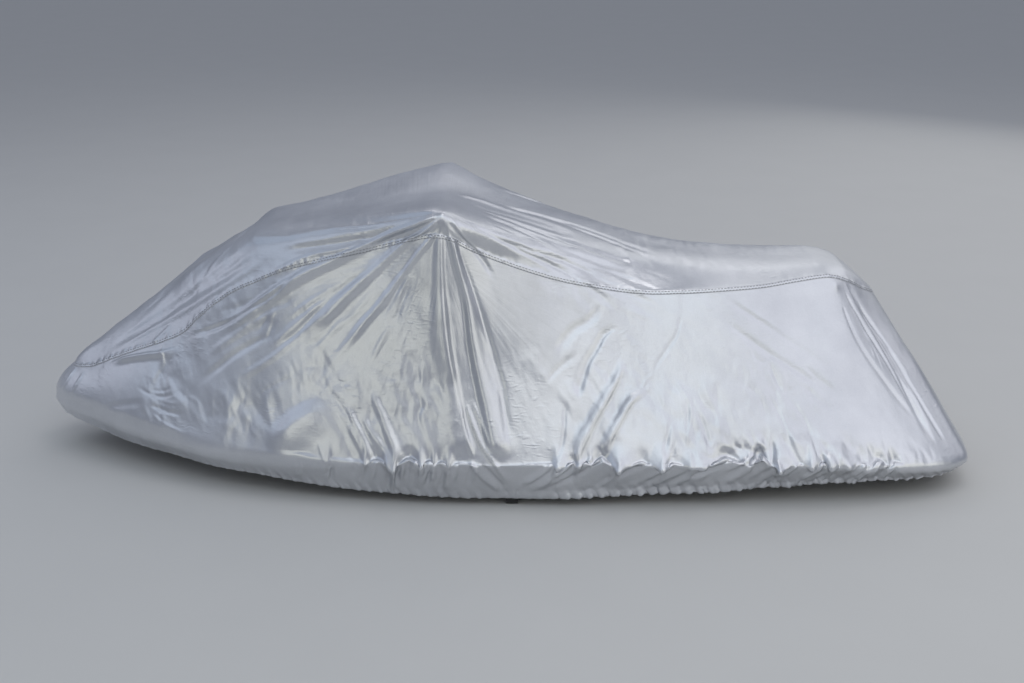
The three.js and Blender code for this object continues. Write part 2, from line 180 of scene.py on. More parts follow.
def smoothThrough(knots, values, at):
    # a smooth curve through values at the given knots
    knots, values = np.asarray(knots, float), np.asarray(values, float)
    k = np.arange(len(knots))
    before, after = np.maximum(k - 1, 0), np.minimum(k + 1, len(k) - 1)
    extra = (1,) * (values.ndim - 1)
    slopes = (values[after] - values[before]) / (knots[after] - knots[before]).reshape(-1, *extra)
    i = np.clip(np.searchsorted(knots, at) - 1, 0, len(knots) - 2)
    span = (knots[i + 1] - knots[i]).reshape(-1, *extra)
    t = (at - knots[i]).reshape(-1, *extra) / span
    return (
        values[i] * (2 * t**3 - 3 * t**2 + 1)
        + slopes[i] * span * (t**3 - 2 * t**2 + t)
        + values[i + 1] * (3 * t**2 - 2 * t**3)
        + slopes[i + 1] * span * (t**3 - t**2)
    )


def smoothstep(value, low, high):
    t = np.clip((value - low) / (high - low), 0, 1)
    return t * t * (3 - 2 * t)


def unit(vectors):
    return vectors / np.maximum(np.linalg.norm(vectors, axis=-1, keepdims=True), 1e-9)


def rowsOf(names, rows):
    return [dict(zip(names, row)) for row in rows]


def lengthAcross(points):
    # how far round each point of a grid lies from its first row, along the cloth
    steps = np.linalg.norm(np.diff(points, axis=1), axis=2)
    return np.concatenate([np.zeros((len(points), 1)), np.cumsum(steps, axis=1)], axis=1)


form = columnsOf(formColumns, formRows)
turns = columnsOf(turnColumns, turnRows)
waves = columnsOf(waveColumns, waveRows)
waves["lift"] = waves["lift"] * grid["waveLift"]
lastStation = len(formRows) - 1


def evenStations(count):
    # stations spaced evenly along the bumper
    fine = np.linspace(0, lastStation, grid["fineStations"])
    x, y = (smoothThrough(np.arange(lastStation + 1), form["bumper" + axis], fine) for axis in "XY")
    run = np.concatenate([[0], np.cumsum(np.hypot(np.diff(x), np.diff(y)))])
    return np.interp(np.linspace(0, run[-1], count), run, fine)


def waveAt(x):
    # the lift of the bumper edge; an arch is steep at its feet and round at its crown
    i = np.clip(np.searchsorted(waves["x"], x) - 1, 0, len(waves["x"]) - 2)
    low, high = waves["lift"][i], waves["lift"][i + 1]
    t = np.clip((x - waves["x"][i]) / (waves["x"][i + 1] - waves["x"][i]), 0, 1)
    rising = high > low
    roundness = np.where(rising, waves["round"][i + 1], waves["round"][i])
    foot = np.where(rising, 1 - t, t)  # 1 at the foot of the arch and 0 at its crown
    top, bottom = np.maximum(low, high), np.minimum(low, high)
    return top + (bottom - top) * foot**roundness


def fromEnds(reach):
    # 0 at the two centre seams and 1 from a number of sections away from them
    return smoothstep(np.minimum(stations, lastStation - stations), 0, reach)


stations = evenStations(grid["columns"])
section = {
    name: smoothThrough(np.arange(lastStation + 1), values, stations) for name, values in form.items()
}


def sideOfCover(side):
    # the points of a side, by column and row, from the seam to the hem. Side is -1 for port and 1 for
    # starboard
    seam, bumper, hem = (
        np.stack([section[part + "X"], side * section[part + "Y"], section[part + "Z"]], axis=-1)
        for part in ("seam", "bumper", "hem")
    )
    run = np.hypot(*(bumper - seam)[:, :2].T)
    drop = seam[:, 2] - bumper[:, 2]
    out = unit(np.concatenate([(bumper - seam)[:, :2] * (drop / run)[:, None], run[:, None]], axis=1))
    turn = np.interp(bumper[:, 0], turns["x"], turns["turn"])
    wall = np.linalg.norm(bumper - seam, axis=1)
    under = np.linalg.norm(hem - bumper, axis=1)
    above = turn / wall
    below = np.minimum(turn / under, grid["mostTurn"])
    wallShares = np.linspace(0, 1, grid["wallRows"] + 1)[None, :] * (1 - above)[:, None]
    turnShares = np.linspace(0, 1, grid["turnRows"] + 1)[None, 1:]
    underShares = np.linspace(0, 1, grid["underRows"] + 1)[None, 1:] * (1 - below)[:, None]
    down = np.concatenate(
        [
            wallShares,
            (1 - above)[:, None] + turnShares * (above + below)[:, None],
            (1 + below)[:, None] + underShares,
        ],
        axis=1,
    )
    share = down[..., None]
    onWall = seam[:, None] + (bumper - seam)[:, None] * share
    onUnder = bumper[:, None] + (hem - bumper)[:, None] * (share - 1)
    t = np.clip((share - 1 + above[:, None, None]) / (above + below)[:, None, None], 0, 1)
    start = (bumper + (seam - bumper) * above[:, None])[:, None]
    end = (bumper + (hem - bumper) * below[:, None])[:, None]
    onTurn = start * (1 - t) ** 2 + 2 * t * (1 - t) * bumper[:, None] + end * t**2
    points = np.where(share < 1 - above[:, None, None], onWall, onTurn)
    points = np.where(share > 1 + below[:, None, None], onUnder, points)
    swell = section["bulge"][:, None] * np.sin(np.pi * np.minimum(down, 1))
    points = points + out[:, None] * swell[..., None]
    # the waves draw the cloth near the bumper up or down and dent it
    shift, share = (0, 1) if side < 0 else (grid["starboardShift"], grid["starboardShare"])
    lift = share * waveAt(bumper[:, 0] - shift)
    fromBumper = np.where(down < 1, (down - 1) * wall[:, None], (down - 1) * under[:, None])
    onUnderSide = smoothstep(fromBumper, -turn[:, None], turn[:, None])[..., None]
    upward = unit(seam - bumper)[:, None] * (1 - onUnderSide) + unit(bumper - hem)[:, None] * onUnderSide
    reach = np.where(fromBumper < 0, smoothstep(fromBumper, -grid["waveReach"], 0), 2 - down)
    drawn = (lift[:, None] * reach)[..., None]
    points = points + drawn * (unit(upward) - grid["waveDent"] * out[:, None])
    return {"points": points, "girth": side * (1 + down), "fromSeam": down * wall[:, None]}


def topOfCover():
    # the points of the top, by column and row, from the port seam to the starboard seam
    across = np.linspace(-1, 1, grid["topRows"] + 1)
    knots = [-1, -grid["shoulderShare"], 0, grid["shoulderShare"], 1]
    seamY, shoulderY, zero = section["seamY"], section["shoulderY"], 0 * section["seamY"]
    y = smoothThrough(knots, [-seamY, -shoulderY, zero, shoulderY, seamY], across).T
    seamZ, shoulderZ, crownZ = section["seamZ"], section["shoulderZ"], section["crownZ"]
    z = smoothThrough(knots, [seamZ, shoulderZ, crownZ, shoulderZ, seamZ], across).T
    x = np.repeat(section["seamX"][:, None], len(across), axis=1)
    points = np.stack([x, y, z], axis=-1)
    run = lengthAcross(points)
    fromSeam = np.minimum(run, run[:, -1:] - run)
    return {"points": points, "girth": np.repeat(across[None], len(points), axis=0), "fromSeam": fromSeam}


def wholeCover():
    # one grid from the port hem over the top to the starboard hem
    port, top, starboard = sideOfCover(-1), topOfCover(), sideOfCover(1)
    return {
        name: np.concatenate([port[name][:, ::-1], top[name][:, 1:-1], starboard[name]], axis=1)
        for name in port
    }


def gridNormals(points):
    # vertex normals of a grid; those of the closed ends lie in the middle plane
    ahead, across = np.diff(points, axis=0), np.diff(points, axis=1)
    faces = np.cross(ahead[:, :-1] + ahead[:, 1:], across[:-1] + across[1:])
    normals = np.zeros_like(points)
    for i in (0, 1):
        for r in (0, 1):
            normals[i : i + faces.shape[0], r : r + faces.shape[1]] += faces
    for end in (0, -1):
        onTop = np.abs(cover["girth"][end]) <= 1
        normals[end, onTop] = normals[end, onTop].sum(axis=0)
        normals[end, :, 1] = 0
    return unit(normals)


cover = wholeCover()
cover["normals"] = gridNormals(cover["points"])
run = lengthAcross(cover["points"])
cover["around"] = run - run[:, [np.argmin(np.abs(cover["girth"][0]))]]  # from the crown, below 0 to port
cover["toHem"] = np.minimum(run, run[:, -1:] - run)
print("form of the cover:", cover["points"].shape)


# Folds as they lie to port, seen square on: each path is x and rise by turns along a fold's crest, from its
# start to its end. Height is below 0 for a trough. Width is half a fold's own, and skew gives its left side
# a larger share of it. Crisp is 0 for a soft fold, 1 for a sharp crest and -1 for a fold that meets the
# cloth in sharp lines. Fade is the share that dies out at each end.
foldColumns = "height fromWidth toWidth skew crisp fadeIn fadeOut path".split()
portFolds = [
    # below the handlebar end: a broad ridge, a bright valley and a second ridge with a steep dark side
    [9.5, 12, 62, -0.5, 0.0, 0.08, 0.1,
     [-168, 690, -168, 575, -164, 455, -155, 335, -139, 242, -124, 150, -108, 60, -74, -28]],
    [6, 60, 17, -0.7, -0.8, 0.35, 0.3, [-165, 500, -161, 430, -156, 385, -146, 300, -135, 235, -126, 190]],
    [16, 12, 56, 0.3, 0.0, 0.1, 0.08,
     [-150, 690, -127, 573, -94, 459, -75, 338, -56, 242, -31, 137, -9, 35, 13, -35]],
    [-4, 8, 22, 0.0, 0.0, 0.1, 0.2,
     [-152, 708, -121, 607, -84, 510, -49, 414, -16, 303, 11, 210, 23, 121, 45, -35]],
    [4, 8, 10, 0.0, 0.5, 0.25, 0.15, [-113, 162, -104, 94, -84, 19, -69, -28]],
    [7, 8, 12, 0.2, 0.5, 0.15, 0.15, [-97, 147, -73, 78, -47, 17, -11, -35, 39, -109]],
    [8, 10, 18, 0.3, 0.5, 0.2, 0.15, [-88, -30, -45, -82, 8, -128]],
    [-8, 8, 14, -0.2, 0.4, 0.25, 0.15, [-52, -34, -12, -80, 22, -122]],
    [4, 8, 9, 0.0, 0.5, 0.2, 0.2, [-75, 150, -45, 75, -20, 0]],
    # fan from the handlebar end towards the bow
    [20, 230, 230, -0.72, 0.0, 0.45, 0.45, [-370, 630, -170, 652, -10, 636]],
    [13.5, 8, 38, 0.4, 0.0, 0.06, 0.25,
     [-173, 708, -228, 692, -307, 667, -385, 632, -476, 592, -606, 536, -728, 462, -818, 401, -923, 360]],
    [-8, 9, 14, 0.0, 0.1, 0.2, 0.25,
     [-606, 554, -654, 507, -701, 470, -768, 432, -835, 395, -905, 370, -991, 346]],
    [10, 6, 40, 0.25, 0.0, 0.06, 0.3,
     [-170, 699, -228, 664, -307, 605, -371, 554, -433, 502, -495, 447, -559, 381, -606, 326]],
    [2.5, 6, 12, 0.0, 0.0, 0.2, 0.4, [-324, 617, -414, 538, -510, 470, -606, 400, -701, 336]],
    [7, 5, 24, 0.2, 0.0, 0.08, 0.35,
     [-172, 680, -191, 646, -252, 574, -307, 505, -352, 450, -409, 387, -461, 322, -510, 266]],
    [-9, 6, 44, -0.2, 0.0, 0.1, 0.35, [-178, 716, -291, 707, -419, 698, -520, 698, -619, 689, -720, 677]],
    [-6, 8, 28, 0.0, 0.0, 0.2, 0.35, [-366, 652, -480, 633, -574, 620, -698, 607]],
    [5.5, 10, 14, 0.5, 0.0, 0.2, 0.3, [-376, 644, -461, 617, -559, 599, -631, 577, -704, 545]],
    [3.5, 14, 20, 0.0, 0.0, 0.3, 0.35, [-654, 441, -766, 383, -868, 320, -937, 267]],
    [-4, 14, 20, 0.0, 0.0, 0.3, 0.35, [-686, 362, -799, 304, -883, 246, -952, 191]],
    [2.5, 12, 18, 0.0, 0.0, 0.3, 0.35, [-588, 366, -701, 278, -814, 211]],
    # hood and bow
    [-4, 14, 24, 0.0, 0.0, 0.2, 0.25, [-1303, 300, -1135, 400, -953, 508, -775, 631, -728, 687]],
    [-4.5, 10, 20, 0.2, 0.1, 0.2, 0.3, [-1243, 317, -1096, 406, -986, 470, -859, 538, -733, 608]],
    [4.5, 10, 22, 0.0, 0.1, 0.2, 0.3, [-1280, 294, -1130, 372, -947, 461, -771, 559, -689, 611]],
    [5, 7, 10, 0.0, 0.4, 0.25, 0.35, [-1123, 320, -1090, 352, -1049, 391]],
    [10, 14, 22, -0.5, 0.3, 0.3, 0.35, [-1288, 256, -1216, 277, -1140, 290, -1077, 297, -1005, 318]],
    [-3.4, 26, 34, 0.3, 0.1, 0.3, 0.35, [-1025, 303, -1079, 230, -1100, 169, -1066, 119]],
    [-1.6, 16, 22, 0.0, 0.0, 0.35, 0.3, [-1308, 110, -1202, 128, -1116, 136]],
    [-2.6, 10, 16, 0.3, 0.2, 0.25, 0.35, [-1116, 129, -1055, 108, -988, 96]],
    [1.8, 9, 16, -0.3, 0.2, 0.2, 0.35, [-1109, 104, -1064, 72, -1019, 51, -972, 25]],
    [1, 8, 12, 0.2, 0.2, 0.3, 0.35, [-1098, 150, -1050, 136, -996, 132]],
    [1, 8, 12, -0.2, 0.2, 0.3, 0.35, [-1085, 72, -1040, 40, -990, 22]],
    [-1.1, 8, 11, 0.2, 0.2, 0.3, 0.35, [-1120, 176, -1075, 172, -1030, 186]],
    [-1.5, 9, 12, 0.3, 0.3, 0.3, 0.3, [-1171, 188, -1111, 160, -1060, 155, -1011, 169]],
    [3, 9, 14, 0.0, 0.3, 0.3, 0.35, [-1087, 323, -1077, 291, -1078, 249]],
    [4, 8, 12, 0.0, 0.4, 0.3, 0.3, [-1473, 161, -1442, 208, -1417, 248]],
    [3, 8, 10, 0.0, 0.4, 0.3, 0.3, [-1445, 137, -1412, 180, -1378, 234]],
    # wall between the bow and the handlebar, most of it rising from the bumper
    [-1.5, 6, 7, 0.2, 0.6, 0.25, 0.2, [-748, 168, -683, 198, -615, 233]],
    [-1.5, 7, 7, 0.0, 0.6, 0.3, 0.3, [-606, 246, -540, 264]],
    [13, 70, 80, -0.35, 0.1, 0.35, 0.35, [-723, 10, -664, 50, -602, 93, -540, 119, -485, 120]],
    [2.5, 8, 12, -0.2, 0.5, 0.25, 0.3, [-515, 176, -495, 145, -471, 107, -443, 69]],
    [1.5, 7, 8, 0.0, 0.5, 0.3, 0.2, [-549, 30, -535, -14, -520, -48]],
    [3.5, 12, 20, 0.2, 0.1, 0.3, 0.05, [-461, 88, -429, 30, -405, -22, -400, -52]],
    [4, 12, 20, -0.2, 0.2, 0.25, 0.15, [-461, 140, -429, 76, -400, 18, -376, -35]],
    [4, 12, 20, -0.2, 0.1, 0.3, 0.05, [-414, 116, -381, 51, -343, -1, -329, -51]],
    [5, 18, 26, 0.0, 0.1, 0.3, 0.08, [-390, 191, -357, 120, -324, 40, -295, -34]],
    [-1, 7, 7, 0.0, 0.5, 0.3, 0.3, [-295, 226, -247, 223]],
    [-1.5, 7, 8, 0.0, 0.5, 0.3, 0.3, [-361, 227, -291, 220]],
    [1.5, 7, 8, 0.0, 0.5, 0.3, 0.3, [-352, 214, -324, 203, -279, 214]],
    [1.5, 8, 9, 0.3, 0.5, 0.3, 0.3, [-200, 155, -178, 92]],
    [-1.5, 8, 9, 0.0, 0.4, 0.3, 0.3, [-520, 189, -480, 204, -443, 206]],
    [1.5, 8, 9, 0.0, 0.4, 0.3, 0.3, [-510, 164, -461, 185, -433, 194]],
    [2, 7, 7, 0.0, 0.3, 0.2, 0.15, [-259, -34, -262, -74, -272, -115]],
    [2, 7, 7, 0.0, 0.3, 0.2, 0.15, [-241, -41, -244, -80, -256, -114]],
    # top between the handlebar and the seat
    [4.5, 6, 22, 0.2, 0.2, 0.1, 0.25, [-141, 811, -62, 793, 37, 758, 150, 719, 291, 662]],
    [-5, 8, 20, 0.0, 0.1, 0.15, 0.2, [-58, 733, 67, 682, 191, 620, 316, 576, 418, 543]],
    [-5, 7, 15, 0.0, 0.1, 0.1, 0.2, [-146, 713, -25, 658, 67, 611, 191, 557, 247, 530]],
    [-5, 9, 14, 0.0, 0.2, 0.2, 0.2, [-2, 645, 128, 603, 221, 576, 321, 527]],
    [-5, 7, 12, 0.0, 0.2, 0.15, 0.25, [3, 781, 136, 744, 264, 695, 391, 645, 483, 600]],
    [-5.5, 7, 14, 0.0, 0.2, 0.15, 0.25, [-91, 761, 6, 728, 131, 678, 255, 633, 381, 591, 480, 560]],
    [-3, 6, 12, 0.0, 0.3, 0.2, 0.3, [-124, 778, 70, 721, 259, 655]],
    [-3.5, 7, 12, 0.0, 0.3, 0.2, 0.25, [150, 742, 331, 684, 520, 604]],
    [-3.5, 8, 12, 0.0, 0.3, 0.2, 0.25, [191, 596, 316, 557, 443, 514]],
    [-5.5, 6, 12, 0.0, 0.2, 0.1, 0.25, [-146, 690, -86, 629, -41, 574, -4, 517]],
    [5, 5, 9, 0.0, 0.3, 0.1, 0.3, [-137, 694, -71, 618, -18, 580]],
    # wall between the handlebar and the seat
    [-4.5, 20, 28, 0.2, 0.1, 0.25, 0.25, [326, 454, 282, 398, 235, 370, 204, 335, 176, 287]],
    [-5.5, 14, 26, -0.3, 0.2, 0.2, 0.15, [376, 381, 331, 353, 306, 311, 277, 264, 259, 209, 243, 160]],
    [-2, 8, 12, 0.0, 0.4, 0.2, 0.1, [220, 149, 207, 134, 204, 77, 194, 15, 173, -36]],
    [7, 16, 30, -0.3, 0.0, 0.3, 0.06, [400, 286, 351, 186, 287, 79, 232, -31]],
    [6.5, 16, 24, -0.3, 0.0, 0.3, 0.06, [477, 197, 412, 150, 365, 76, 325, 1, 308, -31]],
    [-2.5, 12, 16, 0.0, 0.1, 0.3, 0.3, [142, 198, 188, 250, 255, 300]],
    [-2, 8, 8, -0.3, 0.5, 0.2, 0.2, [572, 420, 556, 354, 523, 305, 493, 261, 480, 235]],
    [2, 8, 10, 0.3, 0.5, 0.2, 0.2, [533, 224, 562, 187, 589, 139, 586, 74, 569, 0]],
    [-3, 10, 16, 0.3, 0.4, 0.2, 0.15, [603, 118, 624, 86, 637, 38, 647, -16]],
    [-2, 10, 12, 0.0, 0.1, 0.3, 0.15, [529, 90, 516, 37, 503, -16]],
    [-2, 8, 10, 0.0, 0.1, 0.3, 0.15, [542, 32, 529, -16, 513, -48]],
    [-3, 8, 10, 0.0, 0.4, 0.2, 0.2, [613, -11, 651, -27]],
    [-4, 8, 10, 0.0, 0.4, 0.2, 0.2, [658, -30, 624, -63, 579, -80]],
    [1.5, 8, 8, 0.0, 0.5, 0.3, 0.3, [483, 235, 458, 213, 435, 177]],
    # from the seat's back corner to the stern, and the wall before it
    [-5, 9, 22, 0.0, 0.0, 0.08, 0.15, [1110, 528, 1163, 442, 1216, 349, 1274, 237, 1310, 145, 1350, 24]],
    [-4, 6, 12, 0.2, 0.1, 0.08, 0.15, [1096, 502, 1178, 354, 1268, 192, 1358, 7]],
    [-3.5, 6, 12, 0.0, 0.1, 0.12, 0.2, [1089, 450, 1141, 319, 1228, 189, 1308, 87]],
    [-4, 6, 12, 0.0, 0.1, 0.12, 0.1, [1142, 469, 1234, 335, 1330, 152, 1412, 0]],
    [-4, 6, 11, 0.0, 0.1, 0.1, 0.15, [1121, 497, 1199, 357, 1282, 191, 1374, -10]],
    [-3.5, 12, 16, 0.0, 0.1, 0.25, 0.3, [697, 470, 815, 401, 940, 319, 1058, 232]],
    [-3.5, 12, 16, 0.0, 0.1, 0.25, 0.3, [694, 404, 812, 317, 935, 237, 1073, 153]],
    [3, 10, 14, 0.0, 0.1, 0.25, 0.3, [741, 457, 880, 364, 1032, 255]],
    [-3, 8, 10, 0.0, 0.3, 0.25, 0.3, [948, 261, 996, 218, 1059, 172]],
    [-2, 7, 8, 0.0, 0.6, 0.25, 0.2, [786, 310, 809, 272, 842, 263]],
    [-3.5, 7, 8, 0.3, 0.6, 0.15, 0.2, [842, 263, 861, 214, 880, 170]],
    [-1.5, 7, 7, 0.0, 0.6, 0.3, 0.3, [880, 170, 932, 196]],
    [-3.5, 8, 9, 0.2, 0.5, 0.2, 0.3, [932, 196, 968, 175, 999, 147, 1050, 112]],
    [-2.5, 8, 10, 0.2, 0.4, 0.25, 0.2, [830, 173, 869, 97, 903, -5]],
    [-3, 8, 10, 0.2, 0.5, 0.2, 0.1, [893, 160, 935, 104, 962, 30, 974, -34]],
    [-3.5, 9, 12, 0.0, 0.3, 0.3, 0.15, [836, 51, 839, 1, 827, -38]],
    [-3, 8, 10, 0.0, 0.5, 0.25, 0.25, [711, 17, 750, 6, 790, -4]],
    # tails of folds below the bumper
    [7, 14, 18, -0.3, 0.4, 0.3, 0.3, [282, -48, 191, -88, 81, -132]],
    [5.5, 12, 16, 0.3, 0.4, 0.3, 0.3, [651, -48, 617, -76, 546, -95]],
    [5.5, 12, 14, -0.3, 0.4, 0.3, 0.3, [173, -42, 67, -112]],
    [5.5, 12, 14, 0.3, 0.4, 0.3, 0.3, [224, -42, 125, -98]],
]
starboardFolds = [
    [12, 30, 67, 0.5, 0.2, 0.06, 0.04, [-162, 690, -150, 300, -122, 120, -108, -44]],
    [-12, 18, 38, -0.4, 0.0, 0.08, 0.06, [-146, 648, -118, 300, -70, 40, -50, -40]],
    [-3.5, 23, 38, -0.55, 0.8, 0.3, 0.3, [-132, 676, -70, 420, -8, 120, 14, -36]],
    [3.5, 21, 31, 0.55, 0.8, 0.3, 0.3, [-110, 160, -96, 70, -30, -60]],
    [-6, 10, 24, -0.3, 0.2, 0.1, 0.2, [-198, 704, -420, 676, -640, 640]],
    [-12, 14, 53, 0.4, 0.0, 0.06, 0.15, [-198, 685, -320, 630, -600, 520, -780, 430]],
    [-9.5, 12, 41, -0.4, 0.0, 0.06, 0.2, [-198, 660, -330, 590, -480, 470, -600, 350]],
    [6, 10, 26, 0.0, 0.3, 0.1, 0.2, [-200, 650, -330, 556, -520, 400]],
    [-8.5, 12, 36, -0.2, 0.0, 0.06, 0.25, [-200, 625, -300, 470, -430, 260]],
    [-9.5, 34, 34, 0.3, 0.0, 0.12, 0.2, [-670, 520, -800, 420, -1010, 340]],
    [-6, 28, 36, -0.1, 0.1, 0.1, 0.15, [-780, 690, -1000, 520, -1230, 360]],
    [3.5, 23, 31, 0.0, 0.2, 0.15, 0.2, [-760, 600, -1000, 470, -1200, 330]],
    [-5, 28, 26, -0.2, 0.1, 0.3, 0.3, [-1230, 250, -1100, 270]],
    [3, 28, 36, -0.55, 0.8, 0.3, 0.3, [-900, 120, -760, 190, -660, 250]],
    [2, 28, 31, 0.55, 0.8, 0.3, 0.3, [-740, 40, -600, 110]],
    [-6, 21, 29, 0.0, 0.1, 0.25, 0.1, [-420, 170, -370, 40, -350, -46]],
    [-6, 18, 29, 0.0, 0.1, 0.25, 0.1, [-330, 130, -270, 20, -262, -48]],
    [3, 23, 29, -0.55, 0.8, 0.3, 0.3, [-520, 110, -470, 20]],
    [-6.5, 18, 29, 0.0, 0.1, 0.2, 0.15, [350, 360, 280, 200, 200, -40]],
    [3, 25, 34, 0.55, 0.8, 0.3, 0.3, [400, 300, 330, 150, 250, -30]],
    [-6.5, 21, 29, 0.0, 0.1, 0.2, 0.15, [440, 290, 370, 120, 300, -40]],
    [-4.5, 18, 24, 0.0, 0.1, 0.25, 0.25, [560, 400, 480, 220]],
    [-4.5, 25, 29, 0.0, 0.1, 0.25, 0.25, [600, 420, 560, 300, 520, 120]],
    [3, 23, 31, -0.55, 0.8, 0.3, 0.3, [640, 160, 610, 60, 600, -30]],
    [-5, 16, 26, 0.0, 0.1, 0.12, 0.2, [-120, 700, 100, 630, 380, 540]],
    [-4.5, 14, 22, 0.0, 0.1, 0.12, 0.2, [-110, 660, 60, 590, 240, 520]],
    [-4.5, 25, 31, 0.0, 0.0, 0.25, 0.25, [760, 430, 850, 330, 930, 220]],
    [3, 21, 24, 0.0, 0.1, 0.25, 0.25, [820, 430, 960, 300, 1040, 200]],
    [3, 25, 31, 0.55, 0.8, 0.3, 0.3, [850, 200, 900, 90, 960, -30]],
    [-6.5, 15, 26, 0.0, 0.1, 0.08, 0.15, [1092, 500, 1230, 240, 1350, -20]],
    [-5, 15, 24, 0.0, 0.1, 0.08, 0.15, [1130, 506, 1290, 240, 1425, -12]],
    [3, 21, 29, -0.55, 0.8, 0.3, 0.3, [1120, 505, 1260, 260, 1350, 120]],
]


foldShape = {
    "reach": 1.7,  # how far out a fold is looked for, in widths
    "sharpCrest": 2.2,
    "sharpFoot": 1.4,
    "step": 0.01,  # the share of a fold's length over which its lean is measured
}


def bendOf(path, at):
    # how far aside of its straight line a fold's path lies, at shares of its length
    run = path[-1] - path[0]
    length = np.hypot(*run)
    right = np.array([run[1], -run[0]]) / length
    along = (path - path[0]) @ run / length**2
    return smoothThrough(along, (path - path[0]) @ right, at)


def foldField(rows, x, rise):
    # the height of all folds of a table at places of the layout
    height = np.zeros(x.shape)
    for fold in rowsOf(foldColumns, rows):
        path = np.array(fold["path"], float).reshape(-1, 2)
        reach = foldShape["reach"] * max(fold["fromWidth"], fold["toWidth"])
        low, high = path.min(axis=0) - reach, path.max(axis=0) + reach
        near = np.nonzero((x > low[0]) & (x < high[0]) & (rise > low[1]) & (rise < high[1]))
        offX, offRise = x[near] - path[0, 0], rise[near] - path[0, 1]
        run = path[-1] - path[0]
        length = np.hypot(*run)
        along = np.clip((offX * run[0] + offRise * run[1]) / length**2, 0, 1)
        aside = (offX * run[1] - offRise * run[0]) / length
        bend, step = bendOf(path, along), foldShape["step"]
        lean = (bendOf(path, np.clip(along + step, 0, 1)) - bend) / (step * length)
        aside = (aside - bend) / np.sqrt(1 + lean**2)
        width = fold["fromWidth"] + (fold["toWidth"] - fold["fromWidth"]) * along
        v, skew, crisp = aside / width, fold["skew"], fold["crisp"]
        t = np.clip(np.where(v > 0, v / (1 - skew), -v / (1 + skew)), 0, 1)
        soft = 0.5 * (1 + np.cos(np.pi * t))
        sharp = (1 - t) ** foldShape["sharpCrest"] if crisp > 0 else 1 - t ** foldShape["sharpFoot"]
        profile = soft + (sharp - soft) * abs(crisp)
        fade = smoothstep(along, 0, fold["fadeIn"]) * smoothstep(1 - along, 0, fold["fadeOut"])
        height[near] += fold["height"] * profile * fade
    return height


latticeSize = 64  # random values repeat after this many lumps


def randomLattice(a, b, seed):
    # the random values at the corners of the square that each place lies in, and that square's numbers
    lattice = np.random.default_rng(seed).uniform(-1, 1, (latticeSize, latticeSize))
    i, j = np.floor(a).astype(int), np.floor(b).astype(int)

    def at(di, dj):
        return lattice[(i + di) % latticeSize, (j + dj) % latticeSize]

    return at, i, j


def unevenness(u, v, pitch, seed):
    # a smooth random relief between -1 and 1, with lumps about a pitch apart
    a, b = u / pitch, v / pitch
    at, i, j = randomLattice(a, b, seed)
    s, t = smoothstep(a - i, 0, 1), smoothstep(b - j, 0, 1)
    low = at(0, 0) + (at(1, 0) - at(0, 0)) * s
    high = at(0, 1) + (at(1, 1) - at(0, 1)) * s
    return low + (high - low) * t


# How strongly each part of the cloth is crumpled, as soft patches of the layout over a faint ground.
crumpleColumns = "x rise halfX halfRise angle strength".split()
crumplePatches = [
    [-330, 90, 240, 160, 20, 0.7],
    [-250, 190, 120, 180, 0, 0.6],
    [-540, 200, 150, 110, -20, 0.7],
    [-800, 110, 200, 110, 0, 0.8],
    [-1060, 120, 120, 120, 0, 0.75],
    [-900, 400, 120, 60, 30, 0.8],
    [-1000, 250, 160, 60, 20, 0.6],
    [100, 250, 80, 110, 0, 0.7],
    [330, 150, 190, 200, 0, 0.6],
    [600, 90, 150, 150, 0, 0.9],
    [880, -10, 320, 75, 0, 2.2],
    [880, 160, 200, 130, -30, 0.6],
    [1200, -25, 200, 45, 0, 1.2],
    [250, 480, 240, 60, -20, 0.4],
    [450, 620, 340, 60, -12, 0.5],
    [-480, 690, 260, 40, 8, 0.3],
    [-900, 560, 260, 80, 32, 0.4],
]
crumples = {
    "ground": 0.2,
    "most": 2.2,
    "lean": (0.35, 0.2),
    "stretch": (1.7, 0.85),
    # pitch and height of the facets, and how far the lines between them are bent
    "coarse": (92, 2.6, 0.6),
    "medium": (44, 1.9, 0.5),
    "fine": (24, 0.8, 0.4),
}

# Thin creases that spread like rays from a point, between two directions in degrees.
rayColumns = "x rise fromAngle toAngle near far count width height".split()
rays = [
    [-168, 700, 180, 246, 120, 700, 40, 11, 2.6],
    [-168, 700, 246, 300, 150, 640, 16, 9, 1.3],
    [-140, 740, -34, -14, 110, 760, 40, 8, 1.9],
    [-755, 770, 200, 232, 40, 640, 30, 12, 2.6],
    [1090, 505, -66, -50, 40, 540, 20, 8, 1.8],
    [-650, 500, 190, 250, 60, 330, 12, 12, 1.4],
    [45, -158, 55, 140, 12, 75, 12, 5, 2.4],
]


def strength(x, rise):
    total = np.full(x.shape, crumples["ground"])
    for p in rowsOf(crumpleColumns, crumplePatches):
        turn = math.radians(p["angle"])
        offX, offRise = x - p["x"], rise - p["rise"]
        along = (offX * math.cos(turn) + offRise * math.sin(turn)) / p["halfX"]
        across = (offRise * math.cos(turn) - offX * math.sin(turn)) / p["halfRise"]
        total += p["strength"] * (1 - smoothstep(np.hypot(along, across), 0.3, 1.15))
    return np.minimum(total, crumples["most"])


